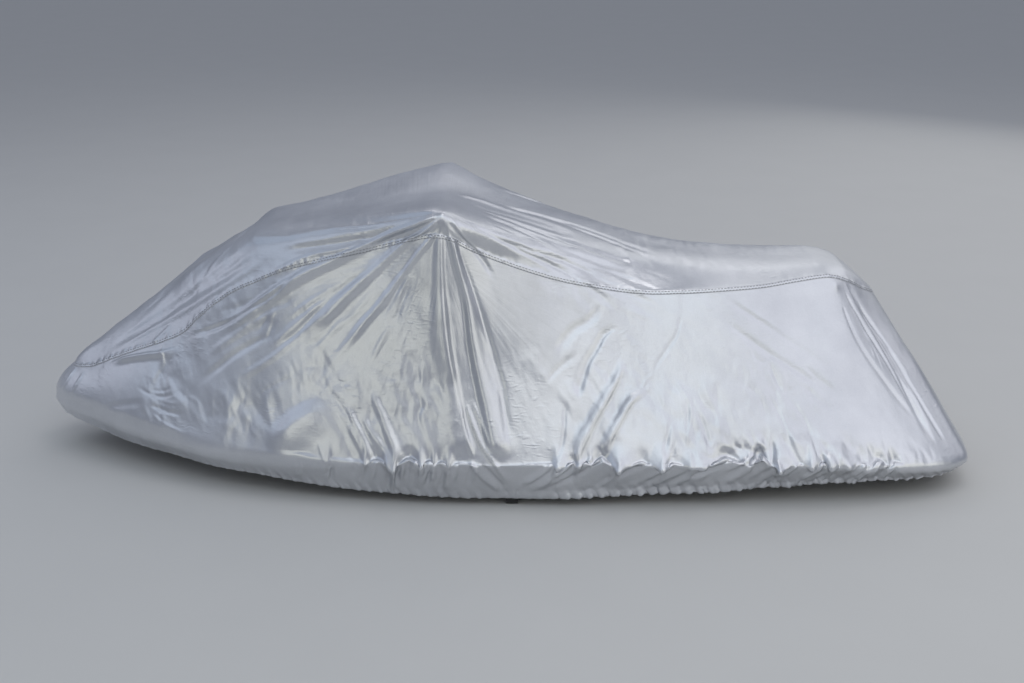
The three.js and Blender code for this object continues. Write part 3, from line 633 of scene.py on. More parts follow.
# Folds that rise from the waves of the bumper, and how far they lean to the stern for each step up.
risers = {
    "least": 4,  # the smallest wave that has folds
    "bumperRise": -48,  # where the bumper lies in the layout
    "leanColumns": "x lean".split(),
    "leans": [
        [-680, -0.9], [-400, -0.6], [-150, -0.1], [150, 0.2], [300, 0.62], [500, 0.3], [640, -0.1],
        [800, -0.3], [950, -0.5], [1350, -0.6],
    ],
    "reach": 3.8,  # length up the wall for each millimetre of wave
    "most": 80,
    "below": 34,
    "height": 0.12,
    "width": 16,
    "tailColumns": "x lean".split(),  # the tails under the bumper, and how far they lean to the bow
    "tails": [[-700, 0.3], [0, 0.3], [230, 1.9], [700, 2.0], [1000, 1.2], [1400, 0.8]],
    "tailDrop": 66,
    "tailHeight": 6.5,
    # the spreads of what is drawn at random for each fold
    "pairGap": (9, 26),  # from one fold of a pair to the other
    "leanSpread": 0.1,
    "lengthSpread": (0.6, 1.1),
    "belowSpread": (0.5, 1.2),
    "bow": 0.12,
    "heightSpread": (0.6, 1.1),
    "secondShare": 0.55,  # the height of the second fold of a pair
    "widthSpread": (0.8, 1.4),
    "skewSpread": (-0.5, 0.5),
    "tailSpread": (0.6, 1.1),
    "tailLeanSpread": (0.7, 1.2),
    "tailHeightSpread": (0.4, 1),
    "tailWidths": (8, 15),
}


def riserRows(seed, shift, share):
    r, draw = risers, np.random.default_rng(seed)
    leans, tails = columnsOf(r["leanColumns"], r["leans"]), columnsOf(r["tailColumns"], r["tails"])
    rows = []
    for x, lift in zip(waves["x"], waves["lift"]):
        if abs(lift) < r["least"]:
            continue
        for second in (0, 1):
            x0 = x + shift + second * draw.uniform(*r["pairGap"]) * draw.choice([-1, 1])
            lean = np.interp(x0, leans["x"], leans["lean"]) + draw.normal(0, r["leanSpread"])
            up = min(r["reach"] * abs(lift) + 25, r["most"]) * draw.uniform(*r["lengthSpread"])
            foot = r["bumperRise"] + 0.9 * lift * share
            down = r["below"] * draw.uniform(*r["belowSpread"])
            bow = draw.uniform(-r["bow"], r["bow"]) * up
            path = [x0 - 0.5 * lean * down, foot - down, x0, foot]
            path += [x0 + lean * 0.5 * up + bow, foot + 0.5 * up, x0 + lean * up, foot + up]
            height = -r["height"] * lift * share * draw.uniform(*r["heightSpread"])
            height = height * (r["secondShare"] if second else 1)
            width = r["width"] * draw.uniform(*r["widthSpread"])
            rows.append([height, width, 1.3 * width, draw.uniform(*r["skewSpread"]), 0.55, 0.3, 0.45, path])
            drop = r["tailDrop"] * draw.uniform(*r["tailSpread"])
            lean = np.interp(x0, tails["x"], tails["lean"]) * draw.uniform(*r["tailLeanSpread"])
            path = [x0, foot, x0 - 0.42 * lean * drop, foot - 0.5 * drop, x0 - lean * drop, foot - drop]
            height = r["tailHeight"] * draw.choice([-1, 1]) * draw.uniform(*r["tailHeightSpread"])
            rows.append([height, *r["tailWidths"], draw.uniform(*r["skewSpread"]), 0.4, 0.12, 0.4, path])
    return rows


def rayRows(seed):
    draw = np.random.default_rng(seed)
    rows = []
    for r in rowsOf(rayColumns, rays):
        for _ in range(r["count"]):
            turn = math.radians(draw.uniform(r["fromAngle"], r["toAngle"]))
            start = r["near"] + (r["far"] - r["near"]) * draw.uniform(0, 0.7) ** 1.3
            end = start + draw.uniform(0.15, 0.5) * (r["far"] - r["near"])
            path = []
            for away in (start, 0.5 * (start + end), end):
                bent = turn + draw.normal(0, 0.012)
                path += [r["x"] + away * math.cos(bent), r["rise"] + away * math.sin(bent)]
            spread = 0.5 + start / r["far"]
            width = r["width"] * spread * draw.uniform(0.8, 1.5)
            height = r["height"] * draw.choice([-1, 1]) * draw.uniform(0.3, 1.0)
            skew, crisp = draw.uniform(-0.5, 0.5), draw.uniform(0, 0.5)
            rows.append([height, width, width, skew, crisp, 0.3, 0.3, path])
    return rows


relief = {"pitch": 190, "height": 3.0}  # the cloth's own slow unevenness

# Small raised points where something under the cloth pushes it out.
pointColumns = "x rise radius height".split()
pushedPoints = [
    [-163, 711, 24, 5],
    [-755, 776, 60, 5],
    [1075, 512, 34, 5],
]


def pointField(x, rise):
    height = np.zeros(x.shape)
    for p in rowsOf(pointColumns, pushedPoints):
        away = np.hypot(x - p["x"], rise - p["rise"]) / p["radius"]
        height += p["height"] * np.maximum(1 - away, 0) ** 1.6
    return height


def facets(u, v, pitch, bend, seed):
    # a crumpled relief between -1 and 1: flat facets about a pitch wide that meet in bent creases
    flips = np.random.default_rng(seed + 1).integers(0, 2, (latticeSize, latticeSize))
    a = u / pitch + bend * unevenness(u, v, 0.9 * pitch, seed + 2)
    b = v / pitch + bend * unevenness(u, v, 0.9 * pitch, seed + 3)
    at, i, j = randomLattice(a, b, seed)
    flip = flips[i % latticeSize, j % latticeSize] == 1
    s, t = np.where(flip, 1 - (a - i), a - i), b - j
    near, right = np.where(flip, at(1, 0), at(0, 0)), np.where(flip, at(0, 0), at(1, 0))
    up, far = np.where(flip, at(1, 1), at(0, 1)), np.where(flip, at(0, 1), at(1, 1))
    low = near + s * (right - near) + t * (up - near)
    high = far + (1 - s) * (up - far) + (1 - t) * (right - far)
    return np.where(s + t < 1, low, high)


def crumpled(x, rise, seed):
    # facets of three sizes, leaning along the pull of the cloth
    lean, stretch = crumples["lean"], crumples["stretch"]
    u, v = stretch[0] * (x + lean[0] * rise), stretch[1] * (rise - lean[1] * x)
    total = np.zeros(x.shape)
    for k, name in enumerate(("coarse", "medium", "fine")):
        pitch, height, bend = crumples[name]
        total += height * facets(u, v, pitch, bend, seed + 10 * k)
    return total * strength(x, rise)


def layoutOf(side):
    tilt = math.radians(grid["layoutTilt"])
    x, y, z = np.moveaxis(cover["points"], -1, 0)
    return x, z * math.cos(tilt) - side * y * math.sin(tilt)


def sideHeight(side, rows, seed):
    x, rise = layoutOf(side)
    return foldField(rows, x, rise) + crumpled(x, rise, seed) + pointField(x, rise)


def foldedCover():
    # the folds of the two tables, which meet past the crown, and the cloth's own unevenness
    shift, share = grid["starboardShift"], grid["starboardShare"]
    portRows = rayRows(seeds["portRays"]) + riserRows(seeds["portRisers"], 0, 1)
    starboardRows = rayRows(seeds["starboardRays"]) + riserRows(seeds["starboardRisers"], shift, share)
    port = sideHeight(-1, portFolds + portRows, seeds["portCrumples"])
    starboard = sideHeight(1, starboardFolds + starboardRows, seeds["starboardCrumples"])
    height = port * (1 - smoothstep(cover["girth"], *grid["portFades"]))
    height = height + starboard * smoothstep(cover["girth"], *grid["starboardRises"])
    x, around = cover["points"][..., 0], cover["around"]
    height = height + relief["height"] * unevenness(x, around, relief["pitch"], seeds["relief"])
    return cover["points"] + cover["normals"] * (height * fromEnds(grid["endFade"])[:, None])[..., None]


folded = foldedCover()
print("folds laid")


# The seams between the top and the sides: the top's rim laps over a side and is sewn down twice.
seamFinish = {
    "lapSteps": [4, 8.5, 12, 12.1],  # how far down the side each row of the lap lies
    "lapLifts": [1.3, 1.3, 1.1, 0.2],
    "rimRise": 5,  # how far above the seam the top begins to rise into its lap
    "rimFade": 0.6,  # sections over which the lap dies out at the two centre seams
    "endFade": 0.4,  # and puckers and crimps
    "puckerReach": 8,
    "puckerPitches": (12, 27),  # of small puckers and of larger ones, and how strong each is
    "puckerShares": (0.6, 0.35),
    "puckerLean": 0.15,
    "puckerColumns": "x height".split(),
    "puckers": [
        [-1437, 1.0], [-1330, 3.0], [-1150, 2.6], [-1050, 3.4], [-900, 3.4], [-800, 2.0], [-700, 2.8],
        [-320, 2.8], [-240, 1.6], [-110, 2.6], [80, 2.6], [200, 1.2], [380, 1.0], [900, 1.0], [1100, 1.8],
        [1240, 1.0],
    ],
    "stitchRows": [2.5, 9.5],
    "stitchPitch": 10.5,
    "stitchLength": 7.2,
    "stitchWidth": 1.9,
}

# The hem: a casing folded in round an elastic, which shirrs the cloth above it and crimps its own.
hemFinish = {
    "radius": 3.0,
    "foldedIn": 12,
    "shirrReach": 62,
    "shirrPitches": (8.5, 19),
    "shirrShares": (0.6, 1),
    "shirrColumns": "x height".split(),
    "shirring": [
        [-1520, 1.0], [-900, 1.2], [-640, 1.6], [-480, 1.8], [-200, 2.4], [-60, 2.0], [10, 0.8], [150, 1.2],
        [190, 3.8], [640, 4.6], [700, 3.6], [1100, 3.0], [1520, 2.6],
    ],
    "slant": 0.55,  # how far the gathers lean to the bow as they go down
    "stripRows": 4,  # rows above the hem that are made again, twice as fine
    "stripColumns": "share crimp bulge".split(),  # share is 1 at the strip's upper edge and 0 at the hem
    "strip": [
        [1, 0, 0], [0.76, 0.1, 0], [0.66, 0.4, 0.06], [0.52, 0.7, 0.3], [0.38, 1, 0.55], [0.22, 1, 0.8],
        [0.08, 0.9, 1], [0, 0.7, 0.95],
    ],
    "casingColumns": "x crimp bulge".split(),  # in millimetres, along the hem
    "casing": [
        [-1520, 0.4, 0.5], [-700, 0.7, 0.8], [-500, 1.2, 1.5], [20, 1.6, 3], [150, 2.0, 7], [300, 2.4, 9],
        [650, 2.4, 9], [760, 1.9, 6], [1200, 1.4, 4], [1520, 0.6, 0.6],
    ],
    "crimpPitch": 9.5,
    "crimpShares": (0.45, 0.55),  # of the casing's small crimps, and of those twice as wide
    "turnSteps": (0.3, 0.65, 1.0),  # shares of the half turn round the elastic
    "foldedUnder": 1.2,  # how far the cloth folded in stands off the casing
}


def ripple(run, pitch, seed, soft=True):
    # an uneven row of small gathers along a seam, between -1 and 1, round or in flat pleats
    draw = np.random.default_rng(seed)
    marks = np.arange(run.min() - 4 * pitch, run.max() + 4 * pitch, pitch)
    marks = marks + draw.uniform(-0.3, 0.3, len(marks)) * pitch
    peaks = draw.uniform(0.35, 1, len(marks)) * (-1) ** np.arange(len(marks))
    i = np.clip(np.searchsorted(marks, run) - 1, 0, len(marks) - 2)
    t = (run - marks[i]) / (marks[i + 1] - marks[i])
    t = smoothstep(t, 0, 1) if soft else np.clip(t, 0, 1)
    return peaks[i] + (peaks[i + 1] - peaks[i]) * t


def bothRipples(run, pitches, seed):
    # two sizes of gathers, drawn apart to port and to starboard
    port = cover["girth"] < 0
    return (
        np.where(port, ripple(run, pitch, seed + 2 * k), ripple(run, pitch, seed + 2 * k + 1))
        for k, pitch in enumerate(pitches)
    )


def gathered(points, normals):
    # small puckers on both sides of the seams, and the shirring above the hem
    x, fromSeam, toHem = cover["points"][..., 0], cover["fromSeam"], cover["toHem"]
    s, h = seamFinish, hemFinish
    puckers = columnsOf(s["puckerColumns"], s["puckers"])
    rows, longer = bothRipples(x + s["puckerLean"] * fromSeam, s["puckerPitches"], seeds["puckers"])
    near = np.exp(-((fromSeam / s["puckerReach"]) ** 2))
    wide = np.exp(-((fromSeam / (2.5 * s["puckerReach"])) ** 2))
    mixed = s["puckerShares"][0] * rows * near + s["puckerShares"][1] * longer * wide
    height = np.interp(x, puckers["x"], puckers["height"]) * mixed
    gathers = columnsOf(h["shirrColumns"], h["shirring"])
    rows, longer = bothRipples(x + h["slant"] * toHem, h["shirrPitches"], seeds["shirring"])
    share = 1 - smoothstep(toHem, 0, h["shirrReach"])
    short = 1 - smoothstep(toHem, 0, 0.6 * h["shirrReach"])
    mixed = h["shirrShares"][0] * rows * short + h["shirrShares"][1] * longer * share
    height = height + np.interp(x, gathers["x"], gathers["height"]) * mixed
    return points + normals * (height * fromEnds(seamFinish["endFade"])[:, None])[..., None]


folded = gathered(folded, gridNormals(folded))
foldedNormals = gridNormals(folded)
seamRows = [int(np.argmin(np.abs(cover["girth"][0] - g))) for g in (-1, 1)]
print("seams puckered and hem shirred")


def newMesh(name, points, faces, uvs=None):
    # a piece from points in millimetres. UVs are one for each point, in metres of cloth
    mesh = bpy.data.meshes.new(name)
    mesh.from_pydata((np.asarray(points, float) * mm).tolist(), [], [list(map(int, f)) for f in faces])
    if uvs is not None:
        layer = mesh.uv_layers.new(name="cloth")
        corners = np.empty(len(mesh.loops), int)
        mesh.loops.foreach_get("vertex_index", corners)
        layer.data.foreach_set("uv", np.asarray(uvs, float)[corners].ravel())
    mesh.polygons.foreach_set("use_smooth", [True] * len(mesh.polygons))
    mesh.update()
    obj = bpy.data.objects.new(name, mesh)
    bpy.context.scene.collection.objects.link(obj)
    return obj


def gridFaces(columns, rows, start=0):
    # four-sided faces over a grid whose corners are numbered from start
    number = start + np.arange(columns * rows).reshape(columns, rows)
    corners = [number[:-1, :-1], number[1:, :-1], number[1:, 1:], number[:-1, 1:]]
    return np.stack(corners, axis=-1).reshape(-1, 4).tolist()


def clothPiece(name, points, uvs, faces):
    # corners that lie in one place become one, as they do at the centre seams
    keys = np.round(points * 100).astype(np.int64)
    _, first, inverse = np.unique(keys, axis=0, return_index=True, return_inverse=True)
    number = first[inverse.ravel()].tolist()
    kept = []
    for face in faces:
        corners = list(dict.fromkeys(number[k] for k in face))
        if len(corners) > 2:
            kept.append(corners)
    used = np.zeros(len(points), bool)
    used[[k for face in kept for k in face]] = True
    renumber = (np.cumsum(used) - 1).tolist()
    return newMesh(name, points[used], [[renumber[k] for k in face] for face in kept], uvs[used])


def clothUvs(rowsSlice):
    along = np.cumsum(np.concatenate([[0], np.hypot(*np.diff(cover["points"][:, 0, :2], axis=0).T)]))
    u = np.repeat(along[:, None], cover["around"].shape[1], axis=1)
    return np.stack([u, cover["around"]], axis=-1)[:, rowsSlice] * mm


def doubled(values):
    # one more column between each two, on a smooth curve through them
    middle = 0.5 * (values[1:] + values[:-1])
    middle[1:-1] -= (values[3:] - values[2:-1] - values[1:-2] + values[:-3]) / 16
    whole = np.empty((2 * len(values) - 1, *values.shape[1:]))
    whole[::2], whole[1::2] = values, middle
    return whole


def hemStrip(points, normals, uvs, side):
    # the last rows of a side made finer, crimped by the casing, and turned in round the elastic
    h = hemFinish
    strip = columnsOf(h["stripColumns"], h["strip"])
    casing = columnsOf(h["casingColumns"], h["casing"])
    at = (1 - strip["share"]) * h["stripRows"]
    k = np.minimum(at.astype(int), h["stripRows"] - 1)
    t = (at - k)[:, None]
    points, normals, uvs = (
        v[:, k] * (1 - t) + v[:, k + 1] * t
        for v in (doubled(values[:, -h["stripRows"] - 1 :]) for values in (points, normals, uvs))
    )
    x = points[..., 0]
    toHem = np.linalg.norm(points - points[:, -1:], axis=2)
    down = unit(points[:, -1] - points[:, 1])
    run = x + 2 * h["slant"] * toHem
    small = ripple(run, h["crimpPitch"], seeds["portCrimps" if side < 0 else "starboardCrimps"], soft=False)
    wide = ripple(run - 3 * toHem, 2.1 * h["crimpPitch"], seeds["wideCrimps"], soft=False)
    crimp = h["crimpShares"][0] * small + h["crimpShares"][1] * wide
    height = strip["crimp"] * crimp * np.interp(x, casing["x"], casing["crimp"])
    height = height + strip["bulge"] * np.interp(x, casing["x"], casing["bulge"])
    place = doubled(np.minimum(stations, lastStation - stations))
    points = points + normals * (height * smoothstep(place, 0, seamFinish["endFade"])[:, None])[..., None]
    out = normals[:, -1]
    rows = []
    for turn in h["turnSteps"]:
        angle = turn * math.pi
        rows.append(points[:, -1] + h["radius"] * (down * math.sin(angle) - out * (1 - math.cos(angle))))
    rows.append(rows[-1] - down * h["foldedIn"] + out * h["foldedUnder"])
    more = np.arange(1, len(rows) + 1)[None, :, None] * np.array([0, side * 3.0]) * mm
    return (
        np.concatenate([points, np.stack(rows, axis=1)], axis=1),
        np.concatenate([uvs, uvs[:, -1:] + more], axis=1),
    )


def sidePanel(name, side):
    rows = slice(seamRows[0], None, -1) if side < 0 else slice(seamRows[1], None)
    points, normals, uvs = folded[:, rows], foldedNormals[:, rows], clothUvs(rows)
    stripPoints, stripUvs = hemStrip(points, normals, uvs, side)
    points, uvs = (v[:, : -hemFinish["stripRows"] - 1] for v in (points, uvs))
    columns, wallRows = points.shape[:2]
    start, stripRows = columns * wallRows, stripPoints.shape[1]
    faces = gridFaces(columns, wallRows) + gridFaces(*stripPoints.shape[:2], start)
    for c in range(columns - 1):  # five-sided faces between the two grids
        last, first = c * wallRows + wallRows - 1, start + 2 * c * stripRows
        faces.append([last, last + wallRows, first + 2 * stripRows, first + stripRows, first])
    if side < 0:
        faces = [face[::-1] for face in faces]
    points = np.concatenate([points.reshape(-1, 3), stripPoints.reshape(-1, 3)])
    uvs = np.concatenate([uvs.reshape(-1, 2), stripUvs.reshape(-1, 2)])
    return clothPiece(name, points, uvs, faces)


def wallPoint(side, distance):
    # points and normals at a distance down a side from its seam, one for each column
    rows, near = slice(seamRows[0], 0, -1) if side < 0 else slice(seamRows[1], None), 30
    points, normals, run = (v[:, rows][:, :near] for v in (folded, foldedNormals, cover["fromSeam"]))
    k = np.clip((run < distance[:, None]).sum(axis=1) - 1, 0, near - 2)
    i = np.arange(len(points))
    t = ((distance - run[i, k]) / (run[i, k + 1] - run[i, k]))[:, None]
    return (
        points[i, k] * (1 - t) + points[i, k + 1] * t,
        unit(normals[i, k] * (1 - t) + normals[i, k + 1] * t),
    )


def topPanel(name):
    # the top, with its rim raised into a lap over each side
    s = seamFinish
    rows = slice(seamRows[0], seamRows[1] + 1)
    points, normals, uvs = folded[:, rows], foldedNormals[:, rows], clothUvs(rows)
    rise = s["lapLifts"][0] * (1 - smoothstep(cover["fromSeam"][:, rows], 0, s["rimRise"]))
    ends = fromEnds(s["rimFade"])
    points = points + normals * (rise * ends[:, None])[..., None]
    laps = {}
    for side, edge in ((-1, 0), (1, -1)):
        lapRows, lapUvs = [], []
        for distance, lift in zip(s["lapSteps"], s["lapLifts"]):
            reach = np.minimum(distance * ends + 0.01 * distance, distance)
            place, normal = wallPoint(side, reach)
            lapRows.append(place + normal * (lift * ends)[:, None])
            lapUvs.append(uvs[:, edge] + np.array([0, side * distance * mm]))
        laps[side] = (np.stack(lapRows, axis=1), np.stack(lapUvs, axis=1))
    points = np.concatenate([laps[-1][0][:, ::-1], points, laps[1][0]], axis=1)
    uvs = np.concatenate([laps[-1][1][:, ::-1], uvs, laps[1][1]], axis=1)
    faces = gridFaces(*points.shape[:2])
    return clothPiece(name, points.reshape(-1, 3), uvs.reshape(-1, 2), faces)


portPanel = sidePanel("port_side_cloth", -1)
starboardPanel = sidePanel("starboard_side_cloth", 1)
topCloth = topPanel("top_cloth")
print("panels made")


def tubeFaces(rings, around, start=0):
    # the sides and both ends of a tube whose rings of corners are numbered from start
    faces = []
    for ring in range(rings - 1):
        for k in range(around):
            a, b = start + ring * around + k, start + ring * around + (k + 1) % around
            faces.append([a, b, b + around, a + around])
    faces.append([start + k for k in range(around)][::-1])
    faces.append([start + (rings - 1) * around + k for k in range(around)])
    return faces


# One stitch: its rings along its length, as a share of half of it, a lift in millimetres and a thickness
stitchColumns = "share lift thick".split()
stitchRings = [[-1, -0.3, 0.45], [-0.7, 0.35, 1], [0, 0.5, 1], [0.7, 0.35, 1], [1, -0.3, 0.45]]
stitchCorners = 5
stitchFlatness = 0.8


def stitchRow(line, normals):
    # short threads laid along a line, each a low arch
    s = seamFinish
    run = np.concatenate([[0], np.cumsum(np.linalg.norm(np.diff(line, axis=0), axis=1))])
    points, faces = [], []
    half, width = s["stitchLength"] / 2, s["stitchWidth"] / 2
    for middle in np.arange(s["stitchPitch"], run[-1] - s["stitchPitch"], s["stitchPitch"]):
        faces += tubeFaces(len(stitchRings), stitchCorners, len(points))
        for ring in rowsOf(stitchColumns, stitchRings):
            at = middle + ring["share"] * half
            place, ahead, up = (
                np.array([np.interp(to, run, values[:, k]) for k in range(3)])
                for to, values in ((at, line), (at + 1, line), (at, normals))
            )
            up = unit(up)
            aside = unit(np.cross(unit(ahead - place), up))
            for corner in range(stitchCorners):
                a = math.radians(corner * 360 / stitchCorners)
                offset = aside * math.cos(a) + up * math.sin(a) * stitchFlatness
                points.append(place + up * ring["lift"] + offset * width * ring["thick"])
    return points, faces


def stitchPiece(name, lines):
    # one piece from rows of stitches, each given by its line and the normals along it
    points, faces = [], []
    for line, normals in lines:
        rowPoints, rowFaces = stitchRow(line, normals)
        faces += [[k + len(points) for k in face] for face in rowFaces]
        points += rowPoints
    return newMesh(name, points, faces)


def seamStitches(name, side):
    keep = (stations > 0.5) & (stations < lastStation - 0.5)
    lines = []
    for distance in seamFinish["stitchRows"]:
        place, normal = wallPoint(side, np.full(len(stations), float(distance)))
        lines.append(((place + normal * seamFinish["lapLifts"][0])[keep], normal[keep]))
    return stitchPiece(name, lines)


portStitches = seamStitches("port_seam_stitches", -1)
starboardStitches = seamStitches("starboard_seam_stitches", 1)
print("seams stitched")


# A short flat end of webbing, sewn inside the hem on each side and hanging below it.
webbing = {
    "x": 45,
    "width": 38,
    "thickness": 1.7,
    "lap": 18,
    "hang": 28,
    "depth": 7.2,  # from the hem's outer face to the middle of the webbing
    "ribs": 9,
    "ribDepth": 0.22,
    "curl": 7.0,  # how far its free end curls out
    "steps": 44,
    "across": 49,
    "twill": 0.12,  # how far every second thread across stands out
    "endShare": 0.55,  # thickness of its two cut ends
    "edge": (8, 12),  # how squarely the ribs and the webbing itself end at its edges
    "stitchMargin": 3,
    "stitchTop": -4,
    "stitchLift": 0.9,
}


def hemFrame(side, x):
    # the hem's edge at an x, with its down and outward directions
    line, above = (folded[:, row if side < 0 else -1 - row] for row in (0, 3))
    i = int(np.argmin(np.abs(line[:, 0] - x)))
    place = line[i] + np.array([x - line[i, 0], 0, 0])
    down = above[i] - line[i]
    down[0] = 0
    down = -unit(down)
    out = unit(np.cross(down, [1.0, 0, 0]))
    if out[1] * side < 0:
        out = -out
    return place, down, out


def webbingTab(name, side):
    w = webbing
    place, down, out = hemFrame(side, w["x"])
    points, ringPoints, half = [], [], w["thickness"] / 2
    ribEdge, edge = w["edge"]
    for face in (1, -1):
        for a in np.linspace(-1, 1, w["across"])[::face]:
            rib = w["ribDepth"] * math.cos(a * w["ribs"] * math.pi) * (1 - a**ribEdge)
            bulk = (half + rib) * math.sqrt(max(1 - a**edge, 0)) + w["twill"]
            ringPoints.append((a * w["width"] / 2, face * bulk))
    for k, length in enumerate(np.linspace(-w["lap"], w["hang"], w["steps"] + 1)):
        free = max(length, 0) / w["hang"]
        endShare = w["endShare"] if k in (0, w["steps"]) else 1
        twill = w["twill"] * (-1) ** k
        middle = place + down * length - out * (w["depth"] - w["curl"] * free**2)
        for a, b in ringPoints:
            points.append(middle + np.array([a, 0, 0]) + out * (b * endShare + math.copysign(twill, b)))
    faces = tubeFaces(w["steps"] + 1, len(ringPoints))
    return newMesh(name, points, [face[::-1] for face in faces] if side > 0 else faces)


def tabStitches(name, side):
    # a box of thread with a cross in it, sewn through the hem and the webbing
    w = webbing
    place, down, out = hemFrame(side, w["x"])
    halfWidth = w["width"] / 2 - w["stitchMargin"]
    low, high = w["stitchTop"], -w["lap"] + w["stitchMargin"]
    corners = [(-halfWidth, low), (halfWidth, low), (halfWidth, high), (-halfWidth, high)]
    lines = []
    share = np.linspace(-0.04, 1.04, 30)[:, None]
    for start, end in ((0, 1), (1, 2), (2, 3), (3, 0), (0, 2), (1, 3)):
        flat = np.array(corners[start]) * (1 - share) + np.array(corners[end]) * share
        line = place + flat[:, :1] * np.array([1.0, 0, 0]) + flat[:, 1:] * down + out * w["stitchLift"]
        lines.append((line, np.repeat(out[None], len(line), axis=0)))
    return stitchPiece(name, lines)


portTab, starboardTab = webbingTab("port_webbing_tab", -1), webbingTab("starboard_webbing_tab", 1)
portTabStitches = tabStitches("port_tab_stitches", -1)
starboardTabStitches = tabStitches("starboard_tab_stitches", 1)
print("tabs and their stitches made")


# Finishes
def newMaterial(name, settings):
    material = bpy.data.materials.new(name)
    material.use_nodes = True
    shader = material.node_tree.nodes["Principled BSDF"]
    fillInputs(material.node_tree, shader, settings)
    return material, material.node_tree, shader


def fillInputs(tree, node, inputs):
    # each input, by name or number, is set to a value or joined to the socket given
    for key, value in inputs.items():
        if isinstance(value, bpy.types.NodeSocket):
            tree.links.new(value, node.inputs[key])
        else:
            node.inputs[key].default_value = value


def addNode(tree, kind, inputs=None, settings=None, output=0):
    # a node, of which one output is handed back
    node = tree.nodes.new("ShaderNode" + kind)
    for key, value in (settings or {}).items():
        setattr(node, key, value)
    fillInputs(tree, node, inputs or {})
    return node.outputs[output]


def mathNode(tree, operation, *values):
    return addNode(tree, "Math", dict(enumerate(values)), {"operation": operation})


def noiseNode(tree, place, scale, detail, roughness=0.5, distortion=0.0, kind="FBM"):
    inputs = {"Vector": place, "Scale": scale, "Detail": detail, "Roughness": roughness}
    return addNode(tree, "TexNoise", {**inputs, "Distortion": distortion}, {"noise_type": kind}, "Fac")


def rangeNode(tree, value, low, high, toLow=0.0, toHigh=1.0, kind="LINEAR"):
    inputs = {"Value": value, "From Min": low, "From Max": high, "To Min": toLow, "To Max": toHigh}
    return addNode(tree, "MapRange", inputs, {"interpolation_type": kind})


def rampNode(tree, value, stops):
    color = addNode(tree, "ValToRGB", {"Fac": value}, output="Color")
    ramp = color.node.color_ramp
    while len(ramp.elements) < len(stops):
        ramp.elements.new(0.5)
    for element, (position, shade) in zip(ramp.elements, stops):
        element.position = position
        element.color = (*shade, 1)
    return color


def placeNode(tree, kind="Object"):
    return addNode(tree, "TexCoord", output=kind)


def axisNode(tree, vector, axis):
    return addNode(tree, "SeparateXYZ", {"Vector": vector}, output=axis)


silverCloth = {
    "metallic": 0.9,
    "roughness": (0.29, 0.37),
    "dark": (0.60, 0.615, 0.65),
    "light": (0.74, 0.755, 0.79),
    "mottleScale": 5.0,
    "grainScale": 240.0,
    "grainShare": 0.25,
    "colorRange": (0.32, 0.68),  # of the mottle, from the dark to the light colour
    "roughRange": (0.3, 0.7),
    "weaveScale": 900.0,
    # strengths and depths of the four reliefs, from the coarsest to the finest
    "streakBump": (0.35, 0.0022),
    "creaseBump": (0.55, 0.0016),
    "crinkleBump": (0.12, 0.002),
    "weaveBump": (0.05, 0.0004),
    # small creases: how many to the metre, how much wider than high, and how patchy they are
    "creaseScale": 34.0,
    "creaseStretch": 2.4,
    "patchScale": 4.5,
    "patches": (0.42, 0.62),
    "crinkleScale": 90.0,
    # fine folds that run away from the handlebar ends: how many round a whole turn, and how far they reach
    "hub": (-0.168, 0.755),
    "streaks": 120.0,
    "streakLength": 2.2,
    "streakReach": (0.03, 0.16, 0.8, 1.2),
}


def streakHeight(tree, place):
    # noise drawn out along lines that run away from the handlebar ends, faded near to them and far off
    c = silverCloth
    offX = mathNode(tree, "SUBTRACT", axisNode(tree, place, "X"), c["hub"][0])
    offZ = mathNode(tree, "SUBTRACT", axisNode(tree, place, "Z"), c["hub"][1])
    squares = [mathNode(tree, "MULTIPLY", off, off) for off in (offX, offZ)]
    away = mathNode(tree, "SQRT", mathNode(tree, "ADD", *squares))
    turn = mathNode(tree, "ARCTAN2", offZ, offX)
    spread = addNode(tree, "CombineXYZ", {
        "X": mathNode(tree, "MULTIPLY", turn, c["streaks"] / (2 * math.pi)),
        "Y": mathNode(tree, "MULTIPLY", away, c["streakLength"]),
        "Z": mathNode(tree, "SIGN", axisNode(tree, place, "Y")),
    })
    near, full, fading, far = c["streakReach"]
    rising = rangeNode(tree, away, near, full, kind="SMOOTHSTEP")
    falling = rangeNode(tree, away, far, fading, kind="SMOOTHSTEP")
    fade = mathNode(tree, "MULTIPLY", rising, falling)
    return mathNode(tree, "MULTIPLY", fade, noiseNode(tree, spread, 1.0, 2.0))


def weaveHeight(tree):
    threads = [
        addNode(
            tree, "TexWave", {"Vector": placeNode(tree, "UV"), "Scale": silverCloth["weaveScale"]},
            {"bands_direction": axis}, "Fac",
        )
        for axis in "XY"
    ]
    return mathNode(tree, "MULTIPLY", *threads)


def creaseHeight(tree, place):
    # short sharp creases in patches
    c = silverCloth
    stretched = addNode(tree, "Mapping", {"Vector": place, "Scale": (1, 1, c["creaseStretch"])})
    creases = noiseNode(tree, stretched, c["creaseScale"], 3.0, distortion=0.6, kind="RIDGED_MULTIFRACTAL")
    patches = rangeNode(tree, noiseNode(tree, place, c["patchScale"], 2.0), *c["patches"])
    return mathNode(tree, "MULTIPLY", creases, patches)


